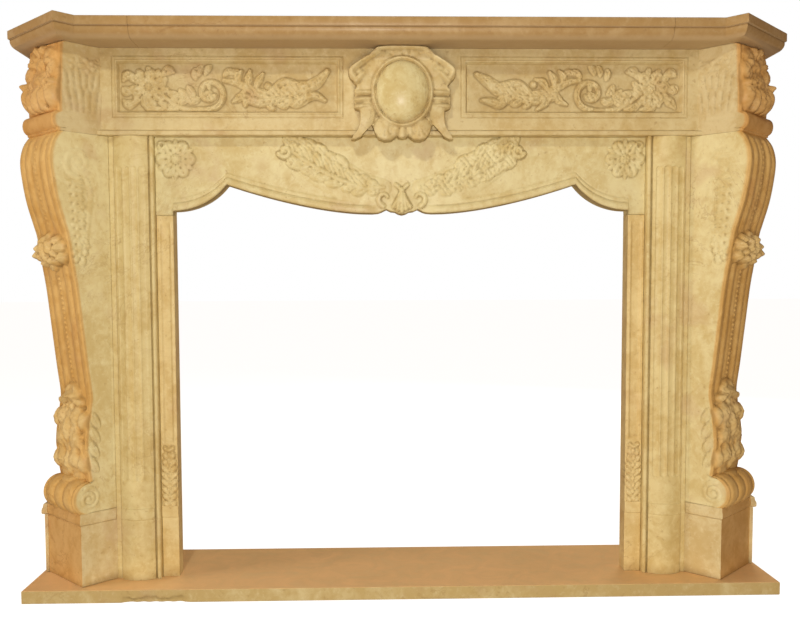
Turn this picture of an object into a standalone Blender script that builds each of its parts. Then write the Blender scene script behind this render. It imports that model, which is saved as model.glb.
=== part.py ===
# Marble fireplace mantel with canted scroll consoles, a carved frieze and a serpentine apron.
# Metres, +Z up, front towards -Y, wall at +Y. Origin on the floor under the middle of the shelf.
import math

import bmesh
import bpy
from mathutils import Vector
from mathutils.geometry import delaunay_2d_cdt

# Heights, from the floor up
HEARTH_THICK = 0.030
PLINTH_HEIGHT = 0.170
BAND_HEIGHT = 0.028
SLIP_HEIGHT = 0.850
APRON_HEIGHT = 0.179
FRIEZE_HEIGHT = 0.196
SHELF_THICK = 0.045

# Widths, from the middle of the opening outwards
OPENING_WIDTH = 1.060
SLIP_WIDTH = 0.039
PILASTER_WIDTH = 0.102
CANT_DEPTH = 0.0895
CONSOLE_WIDTH = 0.150
PLINTH_WIDTH = 0.165
HEARTH_SIDE_OUT = 0.015
SHELF_SIDE_OUT = 0.048
SIDE_SET = 0.052

# Depths: the leg's front stands out from the wall, and the rest stands out from or behind the leg
LEG_OUT = 0.2185
SLIP_SET = 0.0105
FRIEZE_PROUD = 0.0115
SHELF_OVERHANG = 0.095
SHELF_BREAK = 0.035
SHELF_CANT_OUT = 0.060
HEARTH_FRONT_OUT = 0.018

# Thicknesses of the slabs
FRIEZE_THICK = 0.045
SLIP_THICK = 0.040
PILASTER_THICK = 0.035
SIDE_THICK = 0.030

# Mouldings of the plinths, pilasters and shelf
BAND_PROUD = 0.004
PILASTER_CROWN = 0.0185
PILASTER_EDGE = 0.0035
PILASTER_BEAD = 0.011
FLUTE_DEPTH = 0.003
FLUTE_FOOT = 0.060
FLUTE_HEAD = 0.070
FLUTE_COUNT = 4
FASCIA_HEIGHT = 0.020
GROOVE_HEIGHT = 0.003
GROOVE_DEPTH = 0.004
OVOLO_DEPTH = 0.024
SHELF_END_RUN = 0.112

# Carving of the frieze, slips, apron and consoles
FRIEZE_FILLET = 0.008
PANEL_LIFT = 0.054
PANEL_DROP = 0.040
PANEL_START = 0.150
PANEL_MARGIN = 0.041
PANEL_SINK = 0.010
PANEL_FRAME = 0.011
RELIEF = 0.013
CARTOUCHE_WIDTH = 0.242
CARTOUCHE_OUT = 0.036
BOSS_WIDTH = 0.118
BOSS_HEIGHT = 0.129
BOSS_OUT = 0.030
LEAF_DROP = 0.140
SLIP_RELIEF = 0.008
APRON_RISE = 0.060
APRON_STEP = 0.010
APRON_DIP = 0.006
APRON_BORDER = 0.016
APRON_RELIEF = 0.009
LEAF_RELIEF = 0.018
FLOWER_RELIEF = 0.030
RIB_DEPTH = 0.006
BRACKET_RELIEF = 0.022
SCROLL_RELIEF = 0.003

# Clearance between neighbours, the step that stands in for an upright edge in a carved face, and
# the distance within which points are one
GAP = 0.0003
STEP = 0.001
WELD = 0.00002

# Derived places, from the middle of the floor
R2 = math.sqrt(0.5)
FRIEZE_OUT = LEG_OUT + FRIEZE_PROUD
WALL = (FRIEZE_OUT + SHELF_OVERHANG + SHELF_BREAK) / 2
SHELF_FRONT = -WALL
FLOOR = HEARTH_THICK
PLINTH_TOP = FLOOR + PLINTH_HEIGHT
SLIP_TOP = FLOOR + SLIP_HEIGHT
FRIEZE_BASE = SLIP_TOP + APRON_HEIGHT
SHELF_BASE = FRIEZE_BASE + FRIEZE_HEIGHT
SHELF_TOP = SHELF_BASE + SHELF_THICK
OPENING_HALF = OPENING_WIDTH / 2
SLIP_END = OPENING_HALF + SLIP_WIDTH
SLIP_FRONT = WALL - LEG_OUT + SLIP_SET
PILASTER_END = SLIP_END + GAP + PILASTER_WIDTH
OUT = Vector((R2, -R2))
ACROSS = Vector((R2, R2))
CANT_INNER = Vector((PILASTER_END + 2 * GAP, WALL - LEG_OUT))
CANT_CORNER = CANT_INNER + CANT_DEPTH * OUT
CANT_FAR = CANT_CORNER + PLINTH_WIDTH * ACROSS
SIDE_FACE = CANT_FAR.x - SIDE_SET
SHELF_HALF = CANT_FAR.x + SHELF_SIDE_OUT
FRIEZE_FRONT = WALL - FRIEZE_OUT
FRIEZE_HALF = CANT_CORNER.x + CANT_CORNER.y - FRIEZE_FRONT - 2 * GAP
PANEL_LENGTH = FRIEZE_HALF - PANEL_MARGIN - PANEL_START
PANEL_HEIGHT = FRIEZE_HEIGHT - PANEL_LIFT - PANEL_DROP
PANEL_MIDDLE = FRIEZE_BASE + PANEL_LIFT + PANEL_HEIGHT / 2


def lerp(a, b, t):
    return a + (b - a) * t


def ramp(value, start, end):
    # 0 before start, 1 after end, straight between
    return min(1.0, max(0.0, (value - start) / (end - start)))


def curve_through(points, per_span):
    # Smooth path through the given points, per_span steps between each two
    pts = [Vector(p) for p in points]
    ends = [2 * pts[0] - pts[1]] + pts + [2 * pts[-1] - pts[-2]]
    path = []
    for i in range(1, len(ends) - 2):
        a, b, c, d = ends[i - 1:i + 3]
        for k in range(per_span):
            t = k / per_span
            path.append(0.5 * (2 * b + (c - a) * t + (2 * a - 5 * b + 4 * c - d) * t * t
                               + (3 * b - a - 3 * c + d) * t ** 3))
    return path + [pts[-1]]


def table(stations, value):
    # Straight-line reading of a short list of (position, value) stations
    for (p0, v0), (p1, v1) in zip(stations, stations[1:]):
        if value <= p1:
            return lerp(v0, v1, ramp(value, p0, p1))
    return stations[-1][1]


class Stroke:
    # A carved ridge along a path: half widths and crest heights go with the path's points
    def __init__(self, path, half, top):
        self.path = [Vector(p) for p in path]
        self.half = half
        self.top = top

    def lines(self):
        left, right = [], []
        last = len(self.path) - 1
        for i, p in enumerate(self.path):
            along = (self.path[min(i + 1, last)] - self.path[max(i - 1, 0)]).normalized()
            side = Vector((-along.y, along.x)) * self.half[i]
            left.append(p + side)
            right.append(p - side)
        return [left, list(self.path), right]

    def height(self, p):
        # A groove has crest heights below zero, so the height furthest from zero counts
        best = 0.0
        for i in range(len(self.path) - 1):
            a = self.path[i]
            ab = self.path[i + 1] - a
            u = min(1.0, max(0.0, (p - a).dot(ab) / ab.length_squared))
            wide = lerp(self.half[i], self.half[i + 1], u)
            near = (p - a - ab * u).length
            if near < wide:
                best = max(best, lerp(self.top[i], self.top[i + 1], u) * (1 - near / wide), key=abs)
        return best


class Dome:
    # A rounded boss with an elliptical foot
    def __init__(self, centre, rx, ry, top, sides):
        self.centre = Vector(centre)
        self.rx, self.ry, self.top, self.sides = rx, ry, top, sides

    def ring(self, scale):
        turn = 2 * math.pi / self.sides
        points = [self.centre + Vector((scale * self.rx * math.cos(k * turn),
                                        scale * self.ry * math.sin(k * turn))) for k in range(self.sides)]
        return points + points[:1]

    def lines(self):
        return [self.ring(1.0), self.ring(0.6), [self.centre, self.ring(0.6)[0]]]

    def height(self, p):
        d = Vector(((p.x - self.centre.x) / self.rx, (p.y - self.centre.y) / self.ry)).length
        return self.top * math.sqrt(max(0.0, 1 - d * d))


def leaf(base, angle, length, wide, top):
    # A simple pointed leaf with a raised midrib
    along = Vector((math.cos(angle), math.sin(angle))) * length
    path = [Vector(base) + along * t for t in (0.0, 0.45, 1.0)]
    return Stroke(path, [0.25 * wide, wide, 0.0], [0.5 * top, top, 0.3 * top])


def rosette(centre, radius, petals, top, phase=0.0):
    # Petals round a boss
    turn = 2 * math.pi / petals
    parts = []
    for k in range(petals):
        angle = phase + k * turn
        start = Vector(centre) + Vector((math.cos(angle), math.sin(angle))) * 0.42 * radius
        parts.append(leaf(start, angle, 0.58 * radius, 0.26 * radius, top))
    parts.append(Dome(centre, 0.3 * radius, 0.3 * radius, top, 6))
    return parts


def highest(strokes, x, y):
    p = Vector((x, y))
    return max((s.height(p) for s in strokes), default=0.0)


def stroke_lines(strokes):
    return [line for s in strokes for line in s.lines()]


def triangulate(outline, lines):
    # Triangles inside the outline that keep every line as edges
    points = [Vector(p) for p in outline]
    edges = [(i, (i + 1) % len(points)) for i in range(len(points))]
    for line in lines:
        first = len(points)
        points += [Vector(p) for p in line]
        edges += [(i, i + 1) for i in range(first, len(points) - 1)]
    found = delaunay_2d_cdt(points, edges, [list(range(len(outline)))], 1, WELD)
    return found[0], found[2]


def add_face_sheet(bm, outline, lines, front, place):
    # The carved face: every triangulated point is lifted to its height
    points, faces = triangulate(outline, lines)
    verts = [bm.verts.new(place(p.x, p.y, front(p.x, p.y))) for p in points]
    for face in faces:
        bm.faces.new([verts[i] for i in face])
    directed = {(f[i], f[(i + 1) % len(f)]) for f in faces for i in range(len(f))}
    follow = {a: b for a, b in directed if (b, a) not in directed}
    loop = [min(follow)]
    while follow[loop[-1]] != loop[0]:
        loop.append(follow[loop[-1]])
    return points, verts, loop


def carved_block(outline, lines, front, back_place, place, skip=None):
    # A block with one carved face, straight walls back from its edge and a plain back
    bm = bmesh.new()
    points, verts, loop = add_face_sheet(bm, outline, lines, front, place)
    back = {i: bm.verts.new(back_place(points[i].x, points[i].y)) for i in loop}
    for i, j in zip(loop, loop[1:] + loop[:1]):
        if skip is None or not skip(points[i], points[j]):
            bm.faces.new((verts[j], verts[i], back[i], back[j]))
    rim = [points[i] for i in loop]
    at = {k: back[i] for k, i in enumerate(loop)}
    flat, faces = triangulate(rim, [])
    near = {tuple(round(c, 6) for c in p): at[k] for k, p in enumerate(rim)}
    for face in faces:
        bm.faces.new([near[tuple(round(c, 6) for c in flat[i])] for i in reversed(face)])
    return bm


def stone(name, colour):
    material = bpy.data.materials.new(name)
    material.use_nodes = True
    shader = material.node_tree.nodes["Principled BSDF"]
    shader.inputs["Base Color"].default_value = (*colour, 1.0)
    shader.inputs["Roughness"].default_value = 0.38
    shader.inputs["Metallic"].default_value = 0.0
    return material


def finish(name, bm, colour):
    # Weld the seams, face everything outwards and make the named object
    bmesh.ops.remove_doubles(bm, verts=bm.verts, dist=WELD / 2)
    bmesh.ops.recalc_face_normals(bm, faces=bm.faces)
    mesh = bpy.data.meshes.new(name)
    bm.to_mesh(mesh)
    bm.free()
    mesh.materials.append(stone(name, colour))
    ob = bpy.data.objects.new(name, mesh)
    bpy.context.collection.objects.link(ob)
    return ob


def stack(levels):
    # A solid from matching plan outlines, each given as (points, z)
    bm = bmesh.new()
    rings = [[bm.verts.new((p[0], p[1], z)) for p in points] for points, z in levels]
    for low, high in zip(rings, rings[1:]):
        for i in range(len(low)):
            j = (i + 1) % len(low)
            bm.faces.new((low[i], low[j], high[j], high[i]))
    bm.faces.new(list(reversed(rings[0])))
    bm.faces.new(rings[-1])
    return bm


def inset(points, amounts):
    # Move each side of a plan outline inwards by its own amount, outlines running anticlockwise
    count = len(points)
    lines = []
    for i in range(count):
        a, b = Vector(points[i]), Vector(points[(i + 1) % count])
        along = (b - a).normalized()
        lines.append((a + Vector((-along.y, along.x)) * amounts[i], along))
    moved = []
    for i in range(count):
        (p, u), (q, v) = lines[i - 1], lines[i]
        cross = u.x * v.y - u.y * v.x
        step = ((q.x - p.x) * v.y - (q.y - p.y) * v.x) / cross
        moved.append(p + u * step)
    return moved


def mirrored(points, side):
    # Plan outline for the left or the right, kept anticlockwise
    if side > 0:
        return [(p[0], p[1]) for p in points]
    return [(-p[0], p[1]) for p in reversed(points)]


CREAM = (0.70, 0.53, 0.30)
DEEP = (0.66, 0.47, 0.25)
PALE = (0.74, 0.58, 0.34)


def make_hearth():
    half = CANT_FAR.x + HEARTH_SIDE_OUT
    front = CANT_CORNER.y - HEARTH_FRONT_OUT
    plan = [(-half, front), (half, front), (half, WALL), (-half, WALL)]
    finish("hearth_slab", stack([(plan, 0.0), (plan, HEARTH_THICK - GAP)]), DEEP)


# Shelf: fascia, groove and ovolo worked round a breakfront plan with canted corners
def shelf_levels():
    ovolo_height = SHELF_THICK - FASCIA_HEIGHT - GROOVE_HEIGHT
    levels = []
    steps = 5
    for k in range(steps + 1):
        turn = k / steps * math.pi / 2
        levels.append((GROOVE_DEPTH + OVOLO_DEPTH * (1 - math.sin(turn)),
                       SHELF_BASE + ovolo_height * (1 - math.cos(turn))))
    levels.append((GROOVE_DEPTH, SHELF_TOP - FASCIA_HEIGHT - STEP))
    levels.append((0.0, SHELF_TOP - FASCIA_HEIGHT))
    levels.append((0.0, SHELF_TOP - STEP))
    levels.append((STEP, SHELF_TOP))
    return levels


def make_shelf():
    nose_x = CANT_CORNER.x + SHELF_FRONT - CANT_CORNER.y + SHELF_CANT_OUT / R2
    break_x = nose_x - SHELF_BREAK
    front = SHELF_FRONT + SHELF_BREAK
    joint = break_x - SHELF_END_RUN
    end_plan = [(joint + GAP, front), (break_x, front), (nose_x, SHELF_FRONT),
                (SHELF_HALF, SHELF_FRONT + SHELF_HALF - nose_x), (SHELF_HALF, WALL), (joint + GAP, WALL)]
    exposed = (1, 1, 1, 1, 0, 0)
    for side, name in ((1, "shelf_right"), (-1, "shelf_left")):
        levels = [(mirrored(inset(end_plan, [depth * e for e in exposed]), side), z)
                  for depth, z in shelf_levels()]
        finish(name, stack(levels), DEEP)
    levels = [([(-joint, front + depth), (joint, front + depth), (joint, WALL), (-joint, WALL)], z)
              for depth, z in shelf_levels()]
    finish("shelf_centre", stack(levels), DEEP)


# Plinth blocks: canted plan, plain die and a cap band that stands proud of the seen sides
def make_plinths():
    back_x = SIDE_FACE + SIDE_THICK / 2
    turn = Vector((back_x, CANT_FAR.y + CANT_FAR.x - back_x))
    plan = [tuple(p) for p in (CANT_INNER, CANT_CORNER, CANT_FAR, turn)]
    plan += [(back_x, WALL), (CANT_INNER.x, WALL)]
    proud = [-BAND_PROUD, -BAND_PROUD, -BAND_PROUD, -BAND_PROUD, 0.0, 0.0]
    band = inset(plan, proud)
    base = PLINTH_TOP - BAND_HEIGHT
    half_band = inset(plan, [0.5 * p for p in proud])
    levels = [(plan, FLOOR), (plan, base),
              (band, base + 0.25 * BAND_HEIGHT), (band, base + 0.55 * BAND_HEIGHT),
              (half_band, base + 0.7 * BAND_HEIGHT), (plan, PLINTH_TOP - GAP)]
    for side, name in ((1, "plinth_right"), (-1, "plinth_left")):
        finish(name, stack([(mirrored(p, side), z) for p, z in levels]), CREAM)


def make_side_slabs():
    edge = CANT_CORNER + (CONSOLE_WIDTH + GAP) * ACROSS
    start = edge.x + edge.y - SIDE_FACE
    inner = SIDE_FACE - SIDE_THICK
    plan = [(inner, start + SIDE_THICK), (SIDE_FACE, start), (SIDE_FACE, WALL), (inner, WALL)]
    for side, name in ((1, "side_slab_right"), (-1, "side_slab_left")):
        points = mirrored(plan, side)
        finish(name, stack([(points, PLINTH_TOP), (points, SHELF_BASE - GAP)]), CREAM)


# Pilasters: a slab with a bead and a fillet beside a convex, fluted strip on its own plinth
def pilaster_face(x, z):
    left = SLIP_END + GAP
    bead = PILASTER_BEAD
    strip = left + bead
    strip_end = PILASTER_END - bead
    swell = 0.5 * BAND_PROUD * ramp(z, PLINTH_TOP, PLINTH_TOP - STEP)
    if x <= strip:
        return 0.4 * bead * math.sin(math.pi * ramp(x, left, strip))
    if x >= strip_end:
        return 0.0
    u = 2 * ramp(x, strip, strip_end) - 1
    depth = PILASTER_EDGE + (PILASTER_CROWN - PILASTER_EDGE) * (1 - u * u) + swell
    return depth * min(1.0, min(x - strip, strip_end - x) / STEP)


def make_pilasters():
    left = SLIP_END + GAP
    strip = left + PILASTER_BEAD
    strip_end = PILASTER_END - PILASTER_BEAD
    low = PLINTH_TOP + FLUTE_FOOT
    high = FRIEZE_BASE - FLUTE_HEAD
    wide = strip_end - strip
    pitch = wide / (FLUTE_COUNT + 0.6)
    middles = [strip + pitch * (k + 0.8) for k in range(FLUTE_COUNT)]
    sides = (left, left + PILASTER_BEAD / 2, strip, strip + STEP, strip_end - STEP, strip_end, PILASTER_END)
    columns = sorted([*sides] + [m + o * pitch for m in middles for o in (-0.42, 0, 0.42)])
    band = PLINTH_TOP - BAND_HEIGHT
    rows = (FLOOR, band, band + STEP, PLINTH_TOP - STEP, PLINTH_TOP, low, low + pitch, high - pitch, high,
            FRIEZE_BASE - GAP)

    def front(x, z):
        depth = pilaster_face(x, z)
        if band + STEP <= z <= PLINTH_TOP - STEP and strip + STEP <= x <= strip_end - STEP:
            depth += 0.6 * BAND_PROUD
        cut = max(1 - abs(x - m) / (0.42 * pitch) for m in middles)
        run = min(ramp(z, low, low + pitch), ramp(z, high, high - pitch))
        return depth - FLUTE_DEPTH * max(0.0, cut) * run

    face_y = WALL - LEG_OUT
    lines = [[(x, rows[0]), (x, rows[-1])] for x in columns[1:-1]]
    lines += [[(columns[0], z), (columns[-1], z)] for z in rows[1:-1]]
    outline = [(columns[0], rows[0]), (columns[-1], rows[0]), (columns[-1], rows[-1]), (columns[0], rows[-1])]
    for side, name in ((1, "pilaster_right"), (-1, "pilaster_left")):
        def place(x, z, depth, side=side):
            return (side * x, face_y - depth, z)

        def back(x, z, side=side):
            return (side * x, face_y + PILASTER_THICK, z)
        finish(name, carved_block(outline, lines, front, back, place), PALE)


# Slips: the inner jambs, with a leaf drop above a plain plinth
def make_slips():
    inner, outer = OPENING_HALF, SLIP_END
    middle = (inner + outer) / 2
    band = PLINTH_TOP - BAND_HEIGHT
    margin = 0.16 * SLIP_WIDTH
    leaf_low = PLINTH_TOP + margin
    leaf_high = leaf_low + LEAF_DROP
    half = 0.36 * SLIP_WIDTH
    drop = [Stroke([(middle, leaf_low), (middle, lerp(leaf_low, leaf_high, 0.5)), (middle, leaf_high)],
                   [0.5 * half, 0.6 * half, 0.3 * half], [0.8 * SLIP_RELIEF, SLIP_RELIEF, 0.7 * SLIP_RELIEF])]
    for k in range(4):
        z = lerp(leaf_low, leaf_high, 0.12 + 0.2 * k)
        for turn in (0.30, 0.70):
            drop.append(leaf((middle, z), turn * math.pi, 1.25 * half, 0.45 * half, SLIP_RELIEF))
    low = leaf_high + margin
    high = SLIP_TOP - 2 * margin

    def front(x, z):
        depth = highest(drop, x, z)
        run = min(ramp(z, low, low + margin), ramp(z, high, high - margin))
        across = min(ramp(x, inner + margin, inner + 2 * margin), ramp(x, outer - margin, outer - 2 * margin))
        depth -= 0.003 * run * across
        if band + STEP <= z <= PLINTH_TOP - STEP:
            depth += 0.5 * BAND_PROUD
        return depth

    columns = [inner + margin, inner + 2 * margin, outer - 2 * margin, outer - margin]
    lines = [[(x, low), (x, high)] for x in columns]
    lines += [[(columns[0], z), (columns[-1], z)] for z in (low, low + margin, high - margin, high)]
    lines += [[(inner, z), (outer, z)] for z in (band, band + STEP, PLINTH_TOP - STEP, PLINTH_TOP)]
    lines += stroke_lines(drop)
    outline = [(inner, FLOOR), (outer, FLOOR), (outer, SLIP_TOP - GAP), (inner, SLIP_TOP - GAP)]
    for side, name in ((1, "slip_right"), (-1, "slip_left")):
        def place(x, z, depth, side=side):
            return (side * x, SLIP_FRONT - depth, z)

        def back(x, z, side=side):
            return (side * x, SLIP_FRONT + SLIP_THICK, z)
        finish(name, carved_block(outline, lines, front, back, place), CREAM)


# Apron: serpentine lower edge with a raised border, two leaf sprays and corner rosettes
APRON_CUSP = 0.765 * OPENING_HALF
APRON_MID = 0.163 * OPENING_HALF
APRON_FOOT = SLIP_TOP + APRON_STEP


def apron_edge(offset):
    # Right half of the lower edge from the jamb to the middle, moved up by the offset
    sweep = math.radians(55)
    run = (OPENING_HALF - APRON_CUSP) / math.sin(sweep)
    rise = APRON_RISE / (1 - math.cos(sweep))
    steps = 6
    points = []
    for k in range(steps + 1):
        turn = sweep * k / steps
        lift = rise * (1 - math.cos(turn))
        points.append((OPENING_HALF - run * math.sin(turn), APRON_FOOT + lift + offset))
    for k in range(steps, -1, -1):
        t = k / (steps + 1)
        lift = lerp(-APRON_DIP, APRON_RISE, t ** 1.6)
        points.append((lerp(APRON_MID, APRON_CUSP, t), APRON_FOOT + lift + offset))
    return points


def apron_carving(side):
    # One half of the apron's ornament: x as shares of the opening, z as shares of the apron's height
    def at(x, z):
        return (side * x * OPENING_HALF, SLIP_TOP + z * APRON_HEIGHT)

    parts = rosette(at(0.985, 0.71), 0.24 * APRON_HEIGHT, 6, APRON_RELIEF, phase=math.pi / 6)
    rib = curve_through([at(0.096, 0.27), at(0.192, 0.307), at(0.288, 0.42), at(0.385, 0.587),
                         at(0.452, 0.754), at(0.496, 0.855)], 2)
    last = len(rib) - 1
    body = [APRON_HEIGHT * lerp(0.13, 0.07, k / last) for k in range(last + 1)]
    parts.append(Stroke(rib, body, [0.7 * APRON_RELIEF] * (last + 1)))
    for k in range(1, last):
        along = rib[k + 1] - rib[k - 1]
        heading = math.atan2(along.y, along.x)
        share = k / last
        parts.append(leaf(rib[k], heading + 1.15 * side, APRON_HEIGHT * lerp(0.36, 0.10, share),
                          0.055 * APRON_HEIGHT, 1.2 * APRON_RELIEF))
        if k % 2 == 0:
            parts.append(leaf(rib[k], heading - 0.75 * side, 0.20 * APRON_HEIGHT, 0.055 * APRON_HEIGHT,
                              1.1 * APRON_RELIEF))
    for x, z, radius in ((0.496, 0.855, 0.095), (0.063, 0.30, 0.085)):
        parts.append(Dome(at(x, z), radius * APRON_HEIGHT, radius * APRON_HEIGHT, 1.2 * APRON_RELIEF, 8))
    parts.append(leaf(at(0.030, 0.05), (0.5 + 0.03 * side) * math.pi, 0.34 * APRON_HEIGHT,
                      0.06 * APRON_HEIGHT, 0.9 * APRON_RELIEF))
    return parts


def make_apron():
    top = FRIEZE_BASE - GAP
    edge = apron_edge(0.0)
    stations = list(reversed(edge))
    tips = [(0.65 * APRON_MID, SLIP_TOP + 0.5 * APRON_STEP), (0.42 * APRON_MID, SLIP_TOP + 1.4 * APRON_STEP),
            (0.19 * APRON_MID, SLIP_TOP + 0.6 * APRON_STEP)]
    half = [(SLIP_END, top), (SLIP_END, SLIP_TOP), (OPENING_HALF, SLIP_TOP)] + edge + tips
    outline = [(-x, z) for x, z in half] + [(0.0, SLIP_TOP + 0.9 * APRON_STEP)] + list(reversed(half))
    carving = apron_carving(1) + apron_carving(-1)

    def front(x, z):
        border = 0.0
        if APRON_MID <= abs(x) <= OPENING_HALF:
            lift = z - table(stations, abs(x))
            border = 0.5 * APRON_RELIEF * ramp(lift, APRON_BORDER + STEP, APRON_BORDER)
        return max(border, highest(carving, x, z))

    lines = stroke_lines(carving)
    for offset in (APRON_BORDER, APRON_BORDER + STEP):
        raised = apron_edge(offset)[1:-1]
        lines += [raised, [(-x, z) for x, z in raised]]
    block = carved_block(outline, lines, front, lambda x, z: (x, SLIP_FRONT + SLIP_THICK, z),
                         lambda x, z, depth: (x, SLIP_FRONT - depth, z))
    finish("apron", block, CREAM)


# Frieze: long slab with mitred ends, two sunk scroll panels and a cartouche
def panel_scroll(side):
    # Rosette at the outer end, a volute in the middle and a leafy terminal towards the cartouche
    unit = PANEL_HEIGHT
    outer = PANEL_START + PANEL_LENGTH
    across_unit = PANEL_LENGTH / 5.05

    def at(along, up):
        return Vector((side * (outer - along * across_unit), PANEL_MIDDLE + up * unit))

    def ridge(points, half, top):
        parts.append(Stroke(points, [h * unit for h in half], [t * RELIEF for t in top]))

    parts = rosette(at(0.66, 0.06), 0.42 * unit, 5, RELIEF)
    ring = []
    turns = 14
    for k in range(turns + 1):
        angle = math.radians(lerp(-150, 270, k / turns))
        radius = lerp(0.37, 0.14, (k / turns) ** 1.4)
        ring.append(at(2.15 + radius * math.cos(angle), -0.06 + radius * math.sin(angle)))
    stem = [at(0.55, -0.38), at(1.10, -0.40)] + ring
    ridge(stem, [0.045] * len(stem), [0.8] * len(stem))
    arm = curve_through([at(2.20, 0.36), at(2.65, 0.22), at(3.05, -0.10)], 3)
    ridge(arm, [0.05] * len(arm), [0.8] * len(arm))
    upper = curve_through([at(3.02, -0.16), at(3.55, 0.0), at(4.05, 0.04), at(4.45, 0.22), at(4.82, 0.40)], 2)
    ridge(upper, (0.03, 0.12, 0.17, 0.16, 0.12, 0.10, 0.09, 0.07, 0.05),
          (0.5, 0.9, 1.1, 1.1, 1.0, 1.0, 1.0, 0.9, 0.6))
    lower = curve_through([at(4.00, -0.16), at(4.30, -0.20), at(4.66, -0.36)], 2)
    ridge(lower, (0.05, 0.08, 0.08, 0.06, 0.0), [0.9] * 5)
    parts.append(Dome(at(3.44, 0.24), 0.07 * unit, 0.07 * unit, 0.8 * RELIEF, 6))
    # Leaves off the stems: place along and up the panel, heading in degrees and length
    sprays = ((1.35, -0.34, 70, 0.34), (1.22, -0.30, 125, 0.26), (1.60, -0.34, 60, 0.28),
              (2.52, 0.28, 75, 0.20), (2.80, 0.10, 60, 0.34), (2.62, 0.10, -60, 0.36),
              (2.95, -0.10, -95, 0.28), (3.10, -0.20, -35, 0.46), (3.20, -0.05, 110, 0.36),
              (0.40, -0.28, 200, 0.24), (2.15, -0.05, 80, 0.20))
    for along, up, degrees, length in sprays:
        angle = math.radians(degrees)
        parts.append(leaf(at(along, up), math.pi - angle if side > 0 else angle, length * unit,
                          0.075 * unit, RELIEF))
    return parts


def panel_rectangle(side, grow):
    low = PANEL_MIDDLE - PANEL_HEIGHT / 2 - grow
    high = PANEL_MIDDLE + PANEL_HEIGHT / 2 + grow
    near = side * (PANEL_START - grow)
    far = side * (PANEL_START + PANEL_LENGTH + grow)
    return [(near, low), (far, low), (far, high), (near, high), (near, low)]


def frieze_ground(x, z):
    # Sunk fields inside a thin raised frame, and a fillet along the foot
    across = abs(abs(x) - PANEL_START - PANEL_LENGTH / 2) - PANEL_LENGTH / 2
    outside = max(across, abs(z - PANEL_MIDDLE) - PANEL_HEIGHT / 2)
    frame = table([(-1.0, -PANEL_SINK), (-STEP, -PANEL_SINK), (0.0, 0.0), (0.6 * PANEL_FRAME, 0.0),
                   (PANEL_FRAME, -0.3 * PANEL_SINK), (PANEL_FRAME + STEP, 0.0), (1.0, 0.0)], outside)
    return frame + FRIEZE_FILLET * ramp(z, FRIEZE_BASE + FRIEZE_FILLET + STEP, FRIEZE_BASE + FRIEZE_FILLET)


def make_frieze():
    top = SHELF_BASE - GAP
    carving = panel_scroll(1) + panel_scroll(-1)
    lines = stroke_lines(carving)
    for side in (1, -1):
        for grow in (-STEP, 0.0, 0.6 * PANEL_FRAME, PANEL_FRAME, PANEL_FRAME + STEP):
            lines.append(panel_rectangle(side, grow))
    for lift in (FRIEZE_FILLET, FRIEZE_FILLET + STEP):
        lines.append([(-FRIEZE_HALF, FRIEZE_BASE + lift), (FRIEZE_HALF, FRIEZE_BASE + lift)])
    outline = [(-FRIEZE_HALF, FRIEZE_BASE), (FRIEZE_HALF, FRIEZE_BASE),
               (FRIEZE_HALF, top), (-FRIEZE_HALF, top)]
    mitre = (FRIEZE_HALF - FRIEZE_THICK) / FRIEZE_HALF

    def front(x, z):
        return frieze_ground(x, z) + highest(carving, x, z)

    def place(x, z, depth):
        # At the ends the fillet runs on along the mitre
        run_on = 1 + depth / FRIEZE_HALF if abs(x) > FRIEZE_HALF - STEP else 1
        return (x * run_on, FRIEZE_FRONT - depth, z)

    block = carved_block(outline, lines, front,
                         lambda x, z: (x * mitre, FRIEZE_FRONT + FRIEZE_THICK, z), place)
    frieze = finish("frieze", block, CREAM)
    cartouche = finish("cartouche_form", cartouche_block(), CREAM)
    cartouche.hide_render = True
    cartouche.display_type = "WIRE"
    join = frieze.modifiers.new("cartouche", "BOOLEAN")
    join.operation = "UNION"
    join.solver = "EXACT"
    join.object = cartouche


# Cartouche outline from the crest down: x as shares of its half width, z as shares of the frieze's height
CARTOUCHE_OUTLINE = [(0.455, 0.997), (0.579, 0.908), (0.983, 0.745), (1.0, 0.663), (0.818, 0.536),
                     (0.868, 0.515), (0.868, 0.286), (0.777, 0.270), (0.826, 0.077), (0.884, -0.051),
                     (0.777, -0.051), (0.661, 0.020), (0.587, 0.071), (0.545, 0.031)]


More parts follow.
